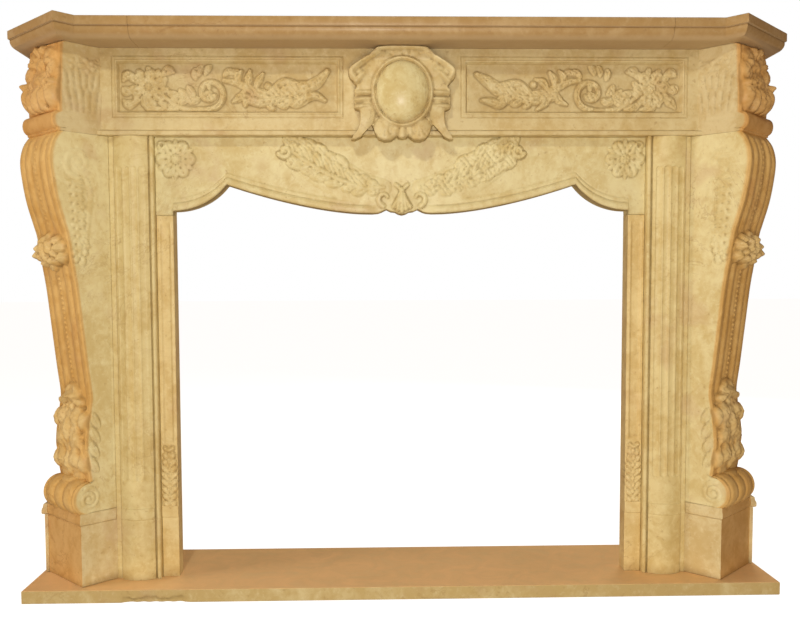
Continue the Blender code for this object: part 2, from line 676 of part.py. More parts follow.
def cartouche_block():
    # Oval boss in a ring, on a strapwork shield with wings above and lobes below
    half_wide = CARTOUCHE_WIDTH / 2
    boss_x, boss_z = BOSS_WIDTH / 2, BOSS_HEIGHT / 2
    centre = (0.0, FRIEZE_BASE + 0.455 * FRIEZE_HEIGHT)

    def at(x, z):
        return (x * half_wide, FRIEZE_BASE + z * FRIEZE_HEIGHT)

    lobe_turns = [math.radians(a) for a in range(-15, -190, -35)]
    lobe = [(0.302 + 0.21 * math.cos(a), -0.008 + 0.13 * math.sin(a)) for a in lobe_turns]
    half = [at(x, z) for x, z in CARTOUCHE_OUTLINE + lobe + [(0.083, -0.082)]]
    outline = [(-x, z) for x, z in half] + list(reversed(half))
    boss = Dome(centre, boss_x, boss_z, BOSS_OUT, 16)
    straps = []
    for side in (1, -1):
        straps.append(Stroke([at(side * 0.298, 0.112), at(side * 0.302, -0.051)],
                             [0.05 * half_wide, 0.124 * half_wide],
                             [-0.11 * CARTOUCHE_OUT, -0.17 * CARTOUCHE_OUT]))
        for k in range(3):
            z = 0.337 + 0.061 * k
            straps.append(Stroke([at(side * 0.66, z), at(side * 0.85, z)], [0.04 * half_wide] * 2,
                                 [0.17 * CARTOUCHE_OUT] * 2))
        straps.append(Stroke([at(side * 0.512, 0.842), at(side * 0.926, 0.714)],
                             [0.083 * half_wide, 0.066 * half_wide],
                             [0.25 * CARTOUCHE_OUT, 0.17 * CARTOUCHE_OUT]))
        straps.append(Stroke([at(side * 0.702, 0.230), at(side * 0.826, -0.020)],
                             [0.066 * half_wide, 0.033 * half_wide],
                             [0.2 * CARTOUCHE_OUT, 0.14 * CARTOUCHE_OUT]))

    def front(x, z):
        out = Vector((x / boss_x, (z - centre[1]) / boss_z)).length
        ring = 0.22 * CARTOUCHE_OUT * max(0.0, 1 - abs(out - 1.10) / 0.10)
        carved = sum(s.height(Vector((x, z))) for s in straps)
        return CARTOUCHE_OUT + ring + carved + boss.height(Vector((x, z)))

    lines = boss.lines() + [boss.ring(1.10), boss.ring(1.20)] + stroke_lines(straps)
    return carved_block(outline, lines, front, lambda x, z: (x, FRIEZE_FRONT + 0.15 * FRIEZE_THICK, z),
                        lambda x, z, depth: (x, FRIEZE_FRONT - depth, z))


# Consoles: a side profile drawn along the canted direction, carved across its width
CONSOLE_PROFILE = [(0.0, -0.012), (0.012, 0.002), (0.035, 0.010), (0.060, 0.002), (0.076, -0.030),
                   (0.12, -0.028), (0.17, -0.024), (0.24, -0.030), (0.30, -0.039), (0.384, -0.031),
                   (0.489, -0.021), (0.594, -0.011), (0.660, -0.002), (0.735, 0.008), (0.768, 0.016),
                   (0.824, 0.030), (0.880, 0.039), (0.930, 0.043), (0.966, 0.037), (0.988, 0.026),
                   (1.0, 0.016)]


def console_carving(height):
    # Leaf at the foot, flowers at the waist; positions are shares of the console's height
    wide = CONSOLE_WIDTH
    middle = wide / 2
    parts = []
    tip = 0.30 * height
    foot = 0.09 * height
    parts.append(Stroke([(middle, foot), (middle, lerp(foot, tip, 0.45)), (middle, tip)],
                        [0.16 * wide, 0.20 * wide, 0.08 * wide],
                        [0.7 * LEAF_RELIEF, LEAF_RELIEF, 0.9 * LEAF_RELIEF]))
    for k in range(4):
        z = lerp(foot, tip, 0.06 + 0.20 * k)
        for turn in (0.24, 0.76):
            parts.append(leaf((middle, z), turn * math.pi, 0.42 * wide, 0.10 * wide, 0.9 * LEAF_RELIEF))
    for share, across, radius in ((0.694, 0.5, 0.17), (0.700, 0.20, 0.15), (0.700, 0.80, 0.15)):
        parts.append(Dome((across * wide, share * height), radius * wide, radius * wide, FLOWER_RELIEF, 8))
    for share, across in ((0.655, 0.35), (0.655, 0.65), (0.730, 0.36), (0.730, 0.64)):
        parts.append(Dome((across * wide, share * height), 0.11 * wide, 0.11 * wide, 0.7 * FLOWER_RELIEF, 6))
    return parts


def console_ribs(t, share):
    # Reeds and grooves down the shaft, ribs round the roll
    wide = CONSOLE_WIDTH
    across = table([(0.0, 0.0), (0.18, 0.0), (0.21, -1.0), (0.30, 0.1), (0.39, -1.0), (0.50, 0.3),
                    (0.61, -1.0), (0.70, 0.1), (0.79, -1.0), (0.82, 0.0), (1.0, 0.0)], t / wide)
    shaft = min(ramp(share, 0.30, 0.384), ramp(share, 0.660, 0.640))
    head = min(ramp(share, 0.735, 0.768), ramp(share, 0.988, 0.966))
    roll = min(ramp(share, 0.0, 0.012), ramp(share, 0.076, 0.060))
    return RIB_DEPTH * across * max(shaft, head, roll)


def make_consoles():
    base = PLINTH_TOP
    height = FRIEZE_BASE - GAP - base
    wide = CONSOLE_WIDTH
    carving = console_carving(height)
    rows = [share * height for share, depth in CONSOLE_PROFILE]
    columns = [c * wide for c in (0.18, 0.21, 0.30, 0.39, 0.50, 0.61, 0.70, 0.79, 0.82)]

    def front(t, z):
        share = z / height
        inside = ramp(min(t, wide - t), 0.0, STEP)
        relief = max(highest(carving, t, z), 0.0) * inside
        return table(CONSOLE_PROFILE, share) + console_ribs(t, share) + relief

    outline = [(0.0, z) for z in reversed(rows)] + [(wide, z) for z in rows]
    lines = [[(0.0, z), (wide, z)] for z in rows[1:-1]]
    lines += [[(x, 0.0), (x, rows[4])] for x in columns]
    lines += [[(x, rows[8]), (x, height)] for x in columns]
    lines += stroke_lines(carving)
    side_outline = [(front(0.0, z), z) for z in rows] + [(-CANT_DEPTH, z) for z in reversed(rows)]
    side_carving = console_side_carving(height)

    for side, name in ((1, "console_right"), (-1, "console_left")):
        def place(t, z, depth, side=side):
            spot = CANT_CORNER + OUT * depth + ACROSS * t
            return (side * spot.x, spot.y, base + z)

        def side_place(s, z, depth, side=side):
            spot = CANT_CORNER + OUT * s - ACROSS * depth
            return (side * spot.x, spot.y, base + z)
        bm = carved_block(outline, lines, front, lambda t, z, place=place: place(t, z, -CANT_DEPTH), place,
                          skip=lambda a, b: a.x < WELD and b.x < WELD)
        add_face_sheet(bm, side_outline, stroke_lines(side_carving),
                       lambda s, z: highest(side_carving, s, z), side_place)
        finish(name, bm, DEEP)


def console_side_carving(height):
    # Flat scroll, hanging leaves and the roll's spiral on the face towards the opening
    unit = CANT_DEPTH
    parts = []

    def ridge(path, half):
        parts.append(Stroke(path, [half * unit] * len(path), [SCROLL_RELIEF] * len(path)))

    def coil(centre, start, step, count, radius, last_radius):
        turns = [(math.radians(start + step * k), lerp(radius, last_radius, k / count))
                 for k in range(count + 1)]
        return [Vector((unit * (centre[0] + r * math.cos(a)), height * centre[1] + unit * r * math.sin(a)))
                for a, r in turns]

    tail = curve_through([(-0.58 * unit, 0.66 * height), (-0.67 * unit, 0.76 * height),
                          (-0.51 * unit, 0.84 * height)], 2)
    ridge(tail + coil((-0.335, 0.905), -80, 38, 10, 0.38, 0.13)[1:], 0.056)
    for k in range(4):
        parts.append(leaf((-0.45 * unit, (0.70 + 0.035 * k) * height), math.radians(-60), 0.36 * unit,
                          0.09 * unit, SCROLL_RELIEF))
    ridge(coil((-0.20, 0.036), 60, 45, 9, 0.212, 0.07), 0.034)
    return parts


# Brackets: torus below, acanthus above, with a plain face towards the opening
BRACKET_PROFILE = [(0.0, 0.022), (0.02, 0.034), (0.085, 0.038), (0.145, 0.034), (0.165, 0.024),
                   (0.30, 0.026), (0.50, 0.024), (0.72, 0.020), (0.90, 0.016), (1.0, 0.014)]


def make_brackets():
    base = FRIEZE_BASE
    height = FRIEZE_HEIGHT - GAP
    wide = CONSOLE_WIDTH
    rows = [share * height for share, depth in BRACKET_PROFILE]
    middle = wide / 2
    carving = [Stroke([(middle, 0.20 * height), (middle, 0.50 * height), (middle, 0.90 * height)],
                      [0.12 * wide, 0.12 * wide, 0.05 * wide],
                      [BRACKET_RELIEF, BRACKET_RELIEF, 0.4 * BRACKET_RELIEF])]
    for k in range(4):
        z = height * (0.20 + 0.16 * k)
        for turn in (0.26, 0.74):
            carving.append(leaf((middle, z), turn * math.pi, 0.44 * wide, 0.10 * wide, 0.9 * BRACKET_RELIEF))
    for across in (0.2, 0.8):
        carving.append(Dome((across * wide, 0.36 * height), 0.12 * wide, 0.12 * wide,
                            0.8 * BRACKET_RELIEF, 6))

    def front(t, z):
        inside = ramp(min(t, wide - t), 0.0, STEP)
        return table(BRACKET_PROFILE, z / height) + highest(carving, t, z) * inside

    outline = [(0.0, z) for z in reversed(rows)] + [(wide, z) for z in rows]
    lines = [[(0.0, z), (wide, z)] for z in rows[1:-1]] + stroke_lines(carving)
    for side, name in ((1, "bracket_right"), (-1, "bracket_left")):
        def place(t, z, depth, side=side):
            spot = CANT_CORNER + OUT * depth + ACROSS * t
            return (side * spot.x, spot.y, base + z)
        bm = carved_block(outline, lines, front, lambda t, z, place=place: place(t, z, -CANT_DEPTH), place)
        finish(name, bm, DEEP)


def main():
    for ob in list(bpy.data.objects):
        bpy.data.objects.remove(ob)
    make_hearth()
    make_plinths()
    make_consoles()
    make_brackets()
    make_pilasters()
    make_slips()
    make_apron()
    make_frieze()
    make_shelf()
    make_side_slabs()


main()
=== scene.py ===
import math

import bmesh
import bpy
import numpy as np
from mathutils import Matrix, Vector

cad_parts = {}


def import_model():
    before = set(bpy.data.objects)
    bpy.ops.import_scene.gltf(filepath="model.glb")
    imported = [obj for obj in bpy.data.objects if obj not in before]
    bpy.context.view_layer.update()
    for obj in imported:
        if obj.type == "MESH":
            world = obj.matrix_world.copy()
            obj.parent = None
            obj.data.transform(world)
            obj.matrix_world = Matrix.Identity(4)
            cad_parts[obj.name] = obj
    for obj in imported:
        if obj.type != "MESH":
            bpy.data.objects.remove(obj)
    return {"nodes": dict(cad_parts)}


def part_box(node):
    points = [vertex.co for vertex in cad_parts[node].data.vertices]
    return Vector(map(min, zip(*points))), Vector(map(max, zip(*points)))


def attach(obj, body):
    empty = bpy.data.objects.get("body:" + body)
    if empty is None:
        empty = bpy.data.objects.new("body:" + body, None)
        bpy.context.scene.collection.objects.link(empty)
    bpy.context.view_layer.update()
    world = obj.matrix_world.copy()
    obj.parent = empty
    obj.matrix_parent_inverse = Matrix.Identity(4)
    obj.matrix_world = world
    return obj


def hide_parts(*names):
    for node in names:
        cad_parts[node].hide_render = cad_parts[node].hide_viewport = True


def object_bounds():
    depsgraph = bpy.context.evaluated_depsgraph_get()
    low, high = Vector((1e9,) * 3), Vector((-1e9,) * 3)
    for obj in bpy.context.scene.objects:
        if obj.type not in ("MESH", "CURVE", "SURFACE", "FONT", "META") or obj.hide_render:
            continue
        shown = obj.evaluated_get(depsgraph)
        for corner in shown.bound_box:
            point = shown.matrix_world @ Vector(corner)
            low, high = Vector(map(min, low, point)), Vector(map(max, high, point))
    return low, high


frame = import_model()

# A carved marble chimneypiece. The solids of the frame give every place; the carving is worked here
# as height fields on grids, one closed mesh a block, in metres.
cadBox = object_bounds()
gap = 0.0003
diagonal = math.sqrt(0.5)


def span(node):
    low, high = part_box(node)
    return np.array(low), np.array(high)


friezeHalf = span("frieze")[1][0]
apronBack = span("apron")[1][1]
slipLow, slipHigh = span("slip_right")
pilasterLow, pilasterHigh = span("pilaster_right")
consoleLow, consoleHigh = span("console_right")
bracketLow, bracketHigh = span("bracket_right")
plinthLow, plinthHigh = span("plinth_right")
hearthLow, hearthHigh = span("hearth_slab")
shelfLow, shelfHigh = span("shelf_right")
wall = cadBox[1][1]

# What the solids share: measures that their boxes don't give by themselves
body = {
    "consoleWidth": 0.150,
    "cantDepth": 0.0895,
    "legOut": 0.2185,
    "slipFront": -0.028,
    "friezeFront": -0.050,
    "plinthTop": 0.200,
    "slipTop": 0.880,
    "openingHalf": 0.530,
    "swell": 0.0080,
}
legFace = wall - body["legOut"]
friezeBase = bracketLow[2]
shelfBase = shelfLow[2]
outWay = np.array([diagonal, -diagonal])
acrossWay = np.array([diagonal, diagonal])
cantInner = np.array([plinthLow[0], legFace])
cantCorner = cantInner + outWay * body["cantDepth"]


# Small curve and field helpers
def ease(t):
    t = np.clip(t, 0.0, 1.0)
    return t * t * (3 - 2 * t)


def ramp(value, start, end):
    return ease((value - start) / (end - start))


def mix(a, b, t):
    return a + (b - a) * t


def toward(turn):
    return np.array([math.cos(turn), math.sin(turn)])


def curveThrough(points, steps=6):
    p = np.array(points, float)
    p = np.vstack([2 * p[0] - p[1], p, 2 * p[-1] - p[-2]])
    t = np.linspace(0, 1, steps, endpoint=False)[:, None]
    parts = []
    for a, b, c, d in zip(p[:-3], p[1:-2], p[2:-1], p[3:]):
        parts.append(0.5 * (2 * b + (c - a) * t + (2 * a - 5 * b + 4 * c - d) * t ** 2
                            + (3 * b - a - 3 * c + d) * t ** 3))
    return np.vstack(parts + [p[-2][None]])


def coil(centre, radii, turns, count):
    a = np.radians(np.linspace(turns[0], turns[1], count))
    r = mix(radii[0], radii[1], np.linspace(0, 1, count) ** 0.8)
    return np.stack([centre[0] + r * np.cos(a), centre[1] + r * np.sin(a)], 1)


def spread(values, count):
    values = np.atleast_1d(np.array(values, float))
    if len(values) == 1:
        return np.full(count, values[0])
    return np.interp(np.linspace(0, 1, count), np.linspace(0, 1, len(values)), values)


def blur(field, times):
    for step in range(times):
        for axis in (0, 1):
            ends = [(1, 1) if k == axis else (0, 0) for k in (0, 1)]
            wide = np.pad(field, ends, mode="edge")
            a = np.take(wide, range(0, wide.shape[axis] - 2), axis)
            b = np.take(wide, range(2, wide.shape[axis]), axis)
            field = (a + b + 2 * field) / 4
    return field


def stations(marks):
    # Grid lines from (place, step up to the next place) pairs
    lines = []
    for (start, step), (end, last) in zip(marks[:-1], marks[1:]):
        count = max(1, int(math.ceil((end - start) / step)))
        lines.extend(np.linspace(start, end, count, endpoint=False))
    return np.array(lines + [marks[-1][0]])


# The carving tool: ridges, leaves, flowers and pits laid over one another on any set of points
class Carving:
    def __init__(self, x, z, moat=0.0009, moatWide=0.0022, bold=1.0, soft=0.0):
        self.x, self.z, self.bold, self.soft = x, z, bold, soft
        self.h = np.zeros(x.shape)
        self.moat, self.moatWide = moat, moatWide

    def near(self, pts, half):
        reach = half.max() + 2 * self.moatWide
        low, high = pts.min(0) - reach, pts.max(0) + reach
        pick = np.nonzero((self.x > low[0]) & (self.x < high[0])
                          & (self.z > low[1]) & (self.z < high[1]))
        px, pz = self.x[pick], self.z[pick]
        best = np.full(px.shape, 9.0)
        along, side, width = np.zeros(px.shape), np.zeros(px.shape), np.full(px.shape, half[0])
        for k in range(len(pts) - 1):
            d = pts[k + 1] - pts[k]
            rx, rz = px - pts[k, 0], pz - pts[k, 1]
            t = np.clip((rx * d[0] + rz * d[1]) / max(d @ d, 1e-12), 0, 1)
            w = half[k] + (half[k + 1] - half[k]) * t
            ratio = np.hypot(rx - t * d[0], rz - t * d[1]) / w
            take = ratio < best
            best[take], width[take] = ratio[take], w[take]
            along[take] = (k + t[take]) / (len(pts) - 1)
            side[take] = np.sign(d[0] * rz - d[1] * rx)[take]
        return pick, best, along, side, width

    def lay(self, path, half, top, edge=0.25, vein=0.0, lean=0.0, moat=1.0, flat=0.5):
        # A ridge along the path: half widths and heights are spread over its length
        pts = np.array(path, float)
        half = self.bold * spread(half, len(pts))
        pick, ratio, along, side, width = self.near(pts, half)
        crest = np.interp(along, np.linspace(0, 1, len(pts)), spread(top, len(pts)))
        inner = np.clip(ratio, 0, 1)
        edge = edge * (1 - 0.6 * self.soft)
        swell = edge + (1 - edge) * (1 - inner ** 2) ** max(flat, self.soft)
        form = crest * swell * (1 + lean * side * inner)
        form -= vein * crest * np.exp(-(ratio / 0.24) ** 2)
        cut = moat * self.moat * np.exp(-((ratio - 1) * width / self.moatWide) ** 2)
        under = np.maximum(self.h[pick] - cut, np.minimum(self.h[pick], -self.moat * moat))
        self.h[pick] = np.where(ratio < 1, np.maximum(under, form), under)

    def pit(self, spot, radius, depth):
        far = np.hypot(self.x - spot[0], self.z - spot[1]) / radius
        self.h -= depth * np.exp(-far ** 4)

    def dome(self, spot, rx, rz, top, moat=1.0, flat=0.5):
        far = np.hypot((self.x - spot[0]) / rx, (self.z - spot[1]) / rz)
        form = top * (1 - np.clip(far, 0, 1) ** 2) ** flat
        cut = moat * self.moat * np.exp(-((far - 1) * rx / self.moatWide) ** 2)
        self.h = np.where(far < 1, np.maximum(self.h - cut, form), self.h - cut)

    def fret(self, size, depth, above, where=1.0):
        # Small uneven cuts over whatever stands higher than the level
        a, b = self.x / size, self.z / size
        wave = np.sin(a + 2.3 * np.sin(0.43 * b)) * np.sin(0.91 * b + 1.9 * np.sin(0.57 * a) + 0.4 * a)
        other = np.sin(0.47 * a - 0.83 * b + 1.3 * np.sin(0.71 * b)) * np.sin(0.77 * a + 0.52 * b)
        cuts = ramp(np.abs(wave), 0.45, 0.9) + 0.8 * ramp(other, 0.3, 0.8)
        self.h -= depth * cuts * ramp(self.h, above, 2 * above) * where

    def finger(self, spot, angle, bend, long, wide, top, vein=0.3):
        pts = [np.array(spot, float)]
        for k in range(5):
            pts.append(pts[-1] + long / 5 * toward(angle))
            angle += bend / 5
        self.lay(pts, [0.45 * wide, 0.85 * wide, wide, 0.9 * wide, 0.35 * wide],
                 [0.55 * top, 0.8 * top, top, 0.95 * top, 0.7 * top], vein=vein)

    def acanthus(self, path, reach, top, side, fingers=6, lean=1.15, rib=0.30, plump=0.27, tip=0.45,
                 bend=-0.9, drill=0.8):
        # Leaf with a midrib and lobes on one side, drilled between them
        pts = curveThrough(path)
        last = len(pts) - 1
        holes = []
        for k in range(fingers):
            share = 1 - (k + 0.35) / fingers
            spot = int(share * last)
            ahead = pts[min(spot + 1, last)] - pts[max(spot - 1, 0)]
            heading = math.atan2(ahead[1], ahead[0])
            long = reach * mix(tip, 1.0, math.sin(math.pi * min(1, 1.25 * (1 - share) + 0.12)) ** 0.7)
            self.finger(pts[spot], heading + side * lean, side * bend, long, plump * long, top)
            holes.append(pts[spot] + 0.36 * long * toward(heading + side * lean * 0.9) * 0.9)
        self.lay(pts, [rib * reach, rib * reach, 0.5 * rib * reach], [top, 1.15 * top, 0.9 * top],
                 vein=0.35)
        for hole in holes:
            self.pit(hole, 0.07 * reach, drill * top * 0.3)

    def flower(self, spot, radius, petals, top, phase=0.0, berries=6, split=0.25):
        for k in range(petals):
            a = phase + 2 * math.pi * k / petals
            pts = [spot + toward(a) * radius * r for r in (0.2, 0.55, 0.8, 0.93)]
            self.lay(pts, [0.14 * radius, 0.31 * radius, 0.34 * radius, 0.18 * radius],
                     [0.35 * top, 0.7 * top, 0.95 * top, 0.8 * top], vein=split)
        self.dome(spot, 0.30 * radius, 0.30 * radius, 0.85 * top)
        for k in range(berries):
            a = phase + 2 * math.pi * (k + 0.5) / berries
            self.dome(spot + 0.17 * radius * toward(a), 0.10 * radius, 0.10 * radius, top, moat=0.6)

    def pearls(self, start, end, count, radius, top):
        for k in range(count):
            t = (k + 0.5) / count
            spot = (mix(start[0], end[0], t), mix(start[1], end[1], t))
            self.dome(spot, radius, radius, top, moat=0.8)


def hollowOf(field, times, depth):
    return np.clip((blur(field, times) - field) / depth, 0, 1)


# Meshes: every piece is one closed surface with a vertex value that says how sheltered a spot is; the stone
# darkens sheltered spots as dust and painted shade
def makePiece(name, verts, faces, flatFrom, hollow, nodes, material, sideLightShare=None):
    mesh = bpy.data.meshes.new(name)
    mesh.from_pydata(np.asarray(verts).tolist(), [], faces)
    smooth = np.ones(len(faces), bool)
    smooth[flatFrom:] = False
    mesh.polygons.foreach_set("use_smooth", smooth)
    shelter = mesh.attributes.new("hollow", "FLOAT", "POINT")
    shelter.data.foreach_set("value", np.asarray(hollow, np.float32))
    if sideLightShare is not None:
        sideLightValues = mesh.attributes.new("sideLightShare", "FLOAT", "POINT")
        sideLightValues.data.foreach_set("value", np.asarray(sideLightShare, np.float32))
    bm = bmesh.new()
    bm.from_mesh(mesh)
    bmesh.ops.recalc_face_normals(bm, faces=bm.faces)
    bm.to_mesh(mesh)
    bm.free()
    piece = bpy.data.objects.new(name, mesh)
    bpy.context.collection.objects.link(piece)
    mesh.materials.append(material)
    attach(piece, "root")
    if nodes:
        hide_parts(*nodes)
    return piece


def quadsOf(rows, cols):
    index = np.arange(rows * cols).reshape(rows, cols)
    quads = np.stack([index[:-1, :-1], index[:-1, 1:], index[1:, 1:], index[1:, :-1]], -1)
    return index, quads.reshape(-1, 4).tolist()


def gridSolid(name, front, backAt, hollow, nodes, material, mitre=1.0):
    # A slab: carved grid in front, flat rim and back; a mitre pulls the back's ends in
    rows, cols = front.shape[:2]
    index, faces = quadsOf(rows, cols)
    rim = np.concatenate([index[0, :-1], index[:-1, -1], index[-1, :0:-1], index[:0:-1, 0]])
    verts = front.reshape(-1, 3)
    edge = verts[rim]
    back = np.stack([edge[:, 0] * mitre, np.full(len(rim), backAt), edge[:, 2]], 1)
    behind = rows * cols + np.arange(len(rim))
    flatFrom = len(faces)
    faces += np.stack([rim, behind, np.roll(behind, -1), np.roll(rim, -1)], -1).tolist()
    faces.append(behind.tolist())
    shade = np.concatenate([hollow.ravel(), np.zeros(len(rim))])
    return makePiece(name, np.vstack([verts, back]), faces, flatFrom, shade, nodes, material)


def wrapSolid(name, grid, corners, hollow, sideLightShare, nodes, material):
    # A block wrapped on two sides by one grid; its far, back, top and bottom faces are flat
    rows, cols = grid.shape[:2]
    index, faces = quadsOf(rows, cols)
    low, high = rows * cols, rows * cols + 1
    flatFrom = len(faces)
    faces.append(index[0].tolist() + [low])
    faces.append(index[-1].tolist() + [high])
    faces.append(index[:, -1].tolist() + [high, low])
    faces.append(index[:, 0].tolist() + [high, low])
    verts = np.vstack([grid.reshape(-1, 3), corners])
    shade = np.concatenate([hollow.ravel(), np.zeros(2)])
    sideLightShare = np.concatenate([sideLightShare.ravel(), np.ones(2)])
    return makePiece(name, verts, faces, flatFrom, shade, nodes, material, sideLightShare)


def stackSolid(name, rings, shades, nodes, material):
    # Closed rings of equal length, one above the other, with flat ends
    rings = np.array(rings)
    count, size = rings.shape[:2]
    index = np.arange(count * size).reshape(count, size)
    turned = np.roll(index, -1, axis=1)
    faces = np.stack([index[:-1], turned[:-1], turned[1:], index[1:]], -1).reshape(-1, 4).tolist()
    faces += [index[0].tolist(), index[-1].tolist()]
    shades = np.array(shades, float)
    shade = np.repeat(shades, size) if shades.ndim == 1 else shades.ravel()
    return makePiece(name, rings.reshape(-1, 3), faces, 0, shade, nodes, material)


def softenByAngle(piece, degrees):
    piece.data.polygons.foreach_set("use_smooth", np.ones(len(piece.data.polygons), bool))
    piece.data.set_sharp_from_angle(angle=math.radians(degrees))


def insetPlan(points, amounts):
    # Each edge of the plan moves inwards by its own amount and the corners are found again
    p = np.array(points, float)
    after = np.roll(p, -1, axis=0)
    area = sum(a[0] * b[1] - b[0] * a[1] for a, b in zip(p, after))
    result = []
    lines = []
    for k, (a, b) in enumerate(zip(p, after)):
        d = (b - a) / np.linalg.norm(b - a)
        n = np.array([-d[1], d[0]]) * (1 if area > 0 else -1)
        lines.append((a + n * amounts[k], d))
    for (a, d), (b, e) in zip(lines[-1:] + lines[:-1], lines):
        cross = d[0] * e[1] - d[1] * e[0]
        if abs(cross) < 1e-9:
            result.append(b)
        else:
            t = ((b[0] - a[0]) * e[1] - (b[1] - a[1]) * e[0]) / cross
            result.append(a + d * t)
    return np.array(result)


# Stone: cream marble with clouds of gold, rusty threads, fine pits, and dust and painted shade in the hollows
class Wire:
    def __init__(self, tree, socket=None):
        self.tree, self.socket = tree, socket

    def add(self, kind, settings=None, links=None, out=0):
        node = self.tree.nodes.new(kind)
        for key, value in (settings or {}).items():
            setattr(node, key, value)
        for key, value in (links or {}).items():
            if isinstance(value, Wire):
                self.tree.links.new(value.socket, node.inputs[key])
            else:
                node.inputs[key].default_value = value
        return Wire(self.tree, node.outputs[out])

    def maths(self, operation, *terms):
        return self.add("ShaderNodeMath", {"operation": operation}, dict(enumerate(terms)))

    def __add__(self, other):
        return self.maths("ADD", self, other)

    def __radd__(self, other):
        return self.maths("ADD", other, self)

    def __sub__(self, other):
        return self.maths("SUBTRACT", self, other)

    def __rsub__(self, other):
        return self.maths("SUBTRACT", other, self)

    def __mul__(self, other):
        return self.maths("MULTIPLY", self, other)

    def __rmul__(self, other):
        return self.maths("MULTIPLY", other, self)

    def size(self):
        return self.maths("ABSOLUTE", self)

    def between(self, low, high):
        return self.add("ShaderNodeMapRange", {"interpolation_type": "SMOOTHSTEP"},
                        {0: self, 1: low, 2: high, 3: 0.0, 4: 1.0})

    def blend(self, first, second):
        return self.add("ShaderNodeMix", {"data_type": "RGBA"}, {0: self, 6: first, 7: second}, out=2)

    def axis(self, index):
        return self.add("ShaderNodeSeparateXYZ", None, {0: self}, out=index)

    def vertexValue(self, name):
        return self.add("ShaderNodeAttribute", {"attribute_name": name}, out=2)

    def scaled(self, factors):
        return self.add("ShaderNodeVectorMath", {"operation": "MULTIPLY"}, {0: self, 1: factors})

    def noise(self, scale, detail=3.0, distort=0.0, rough=0.55):
        return self.add("ShaderNodeTexNoise", None, {"Vector": self, "Scale": scale, "Detail": detail,
                                                     "Roughness": rough, "Distortion": distort})


stone = {
    "pale": (0.755, 0.713, 0.379),
    "gold": (0.622, 0.527, 0.226),
    "rose": (0.594, 0.464, 0.245),
    "rust": (0.377, 0.243, 0.086),
    "shadeAndDust": (0.217, 0.145, 0.049),
    "dust": (1.2, 0.88, 0.43),
    "light": (0.849, 0.858, 0.538),
    "paintedSideLight": (0.92, 0.69, 0.46),
    "paintedSideLightDeep": (1.02, 0.74, 0.48),
    "roughness": 0.40,
    "specular": 0.45,
    "cloudScale": 5.0,
    "patchScale": 15.0,
    "mottleScale": 48.0,
    "grainScale": 95.0,
    "toothScale": 260.0,
    "blushScale": 8.5,
    "threadScale": 4.2,
    "blush": 0.5,
    "veins": 0.38,
    "spots": 0.42,
    "glints": 0.22,
    "shadeAndDustMix": 0.50,
    "bump": 0.22,
    "bumpDepth": 0.0009,
}


def marble(name, tone, deepen=0.0, roughness=stone["roughness"], dusty=0.0, bump=1.0, shadeAndDust=1.0,
           paintedSideLight="", cast="paintedSideLight", under=0.0):
    def paint(key):
        return tuple(min(1.0, c * t) for c, t in zip(stone[key], tone)) + (1,)
    material = bpy.data.materials.new(name)
    material.use_nodes = True
    tree = material.node_tree
    shader = tree.nodes["Principled BSDF"]
    start = Wire(tree)
    place = start.add("ShaderNodeTexCoord", out=3)
    facing = start.add("ShaderNodeNewGeometry", out=1)
    # Clouds of gold in the pale ground, rosy patches, rusty threads, pits and glints
    cloud = place.noise(stone["cloudScale"], 5.0, 0.6)
    patch = place.scaled((1.0, 1.0, 0.75)).noise(stone["patchScale"], 6.0, 0.9, 0.62)
    grain = place.noise(stone["grainScale"], 4.0, 0.2, 0.65)
    mottle = place.noise(stone["mottleScale"], 4.0, 0.5, 0.6)
    gold = (cloud * 0.30 + patch * 0.38 + mottle * 0.32 + deepen).between(0.41, 0.62)
    colour = gold.blend(paint("pale"), paint("gold"))
    blush = place.noise(stone["blushScale"], 3.0, 0.4).between(0.56, 0.74)
    colour = (blush * stone["blush"]).blend(colour, paint("rose"))
    thread = (place.noise(stone["threadScale"], 7.0, 1.4, 0.6) - 0.5).size()
    vein = 1.0 - thread.between(0.0, 0.010)
    faint = place.noise(3.1, 2.0).between(0.50, 0.66)
    colour = (vein * faint * stone["veins"]).blend(colour, paint("rust"))
    spot = grain.between(0.60, 0.74)
    colour = (spot * stone["spots"]).blend(colour, paint("rust"))
    glint = grain.between(0.44, 0.33)
    colour = (glint * stone["glints"]).blend(colour, paint("light"))
    if paintedSideLight:
        # Painted warm side light: the faces that look outwards take a warmer, darker tint than the rest
        if paintedSideLight == "carved":
            outward = start.vertexValue("sideLightShare")
        else:
            placeX = place.axis(0)
            outward = (facing.axis(0) * placeX.maths("SIGN", placeX)).between(0.15, 0.60)
        colour = start.add("ShaderNodeMix", {"data_type": "RGBA", "blend_type": "MULTIPLY"},
                           {0: outward, 6: colour, 7: stone[cast] + (1,)}, out=2)
    # Painted shade with dust: hollows and sheltered spots darken towards a brown
    shadeAndDustMix = (start.vertexValue("hollow") * (0.55 + 0.9 * grain)).between(0.06, 0.95)
    colour = (shadeAndDustMix * (stone["shadeAndDustMix"] * shadeAndDust)).blend(colour, paint("shadeAndDust"))
    if dusty:
        settled = facing.axis(2).between(0.5, 0.95) * (0.45 + 0.9 * patch)
        colour = (settled * dusty).blend(colour, paint("dust"))
    if under:
        # Painted bounce light: paler stone where the moulding looks down
        colour = (facing.axis(2).between(-0.5, -0.95) * under).blend(colour, paint("light"))
    tree.links.new(colour.socket, shader.inputs["Base Color"])
    worn = roughness + 0.16 * patch - 0.06 + 0.25 * shadeAndDustMix * shadeAndDust
    tree.links.new(worn.socket, shader.inputs["Roughness"])
    tooth = place.noise(stone["toothScale"], 3.0, 0.0, 0.6) * 0.35 + grain * 0.65 - spot * 0.7
    relief = start.add("ShaderNodeBump", None, {"Strength": stone["bump"] * bump,
                                                "Distance": stone["bumpDepth"], "Height": tooth})
    tree.links.new(relief.socket, shader.inputs["Normal"])
    shader.inputs["Specular IOR Level"].default_value = stone["specular"]
    return material


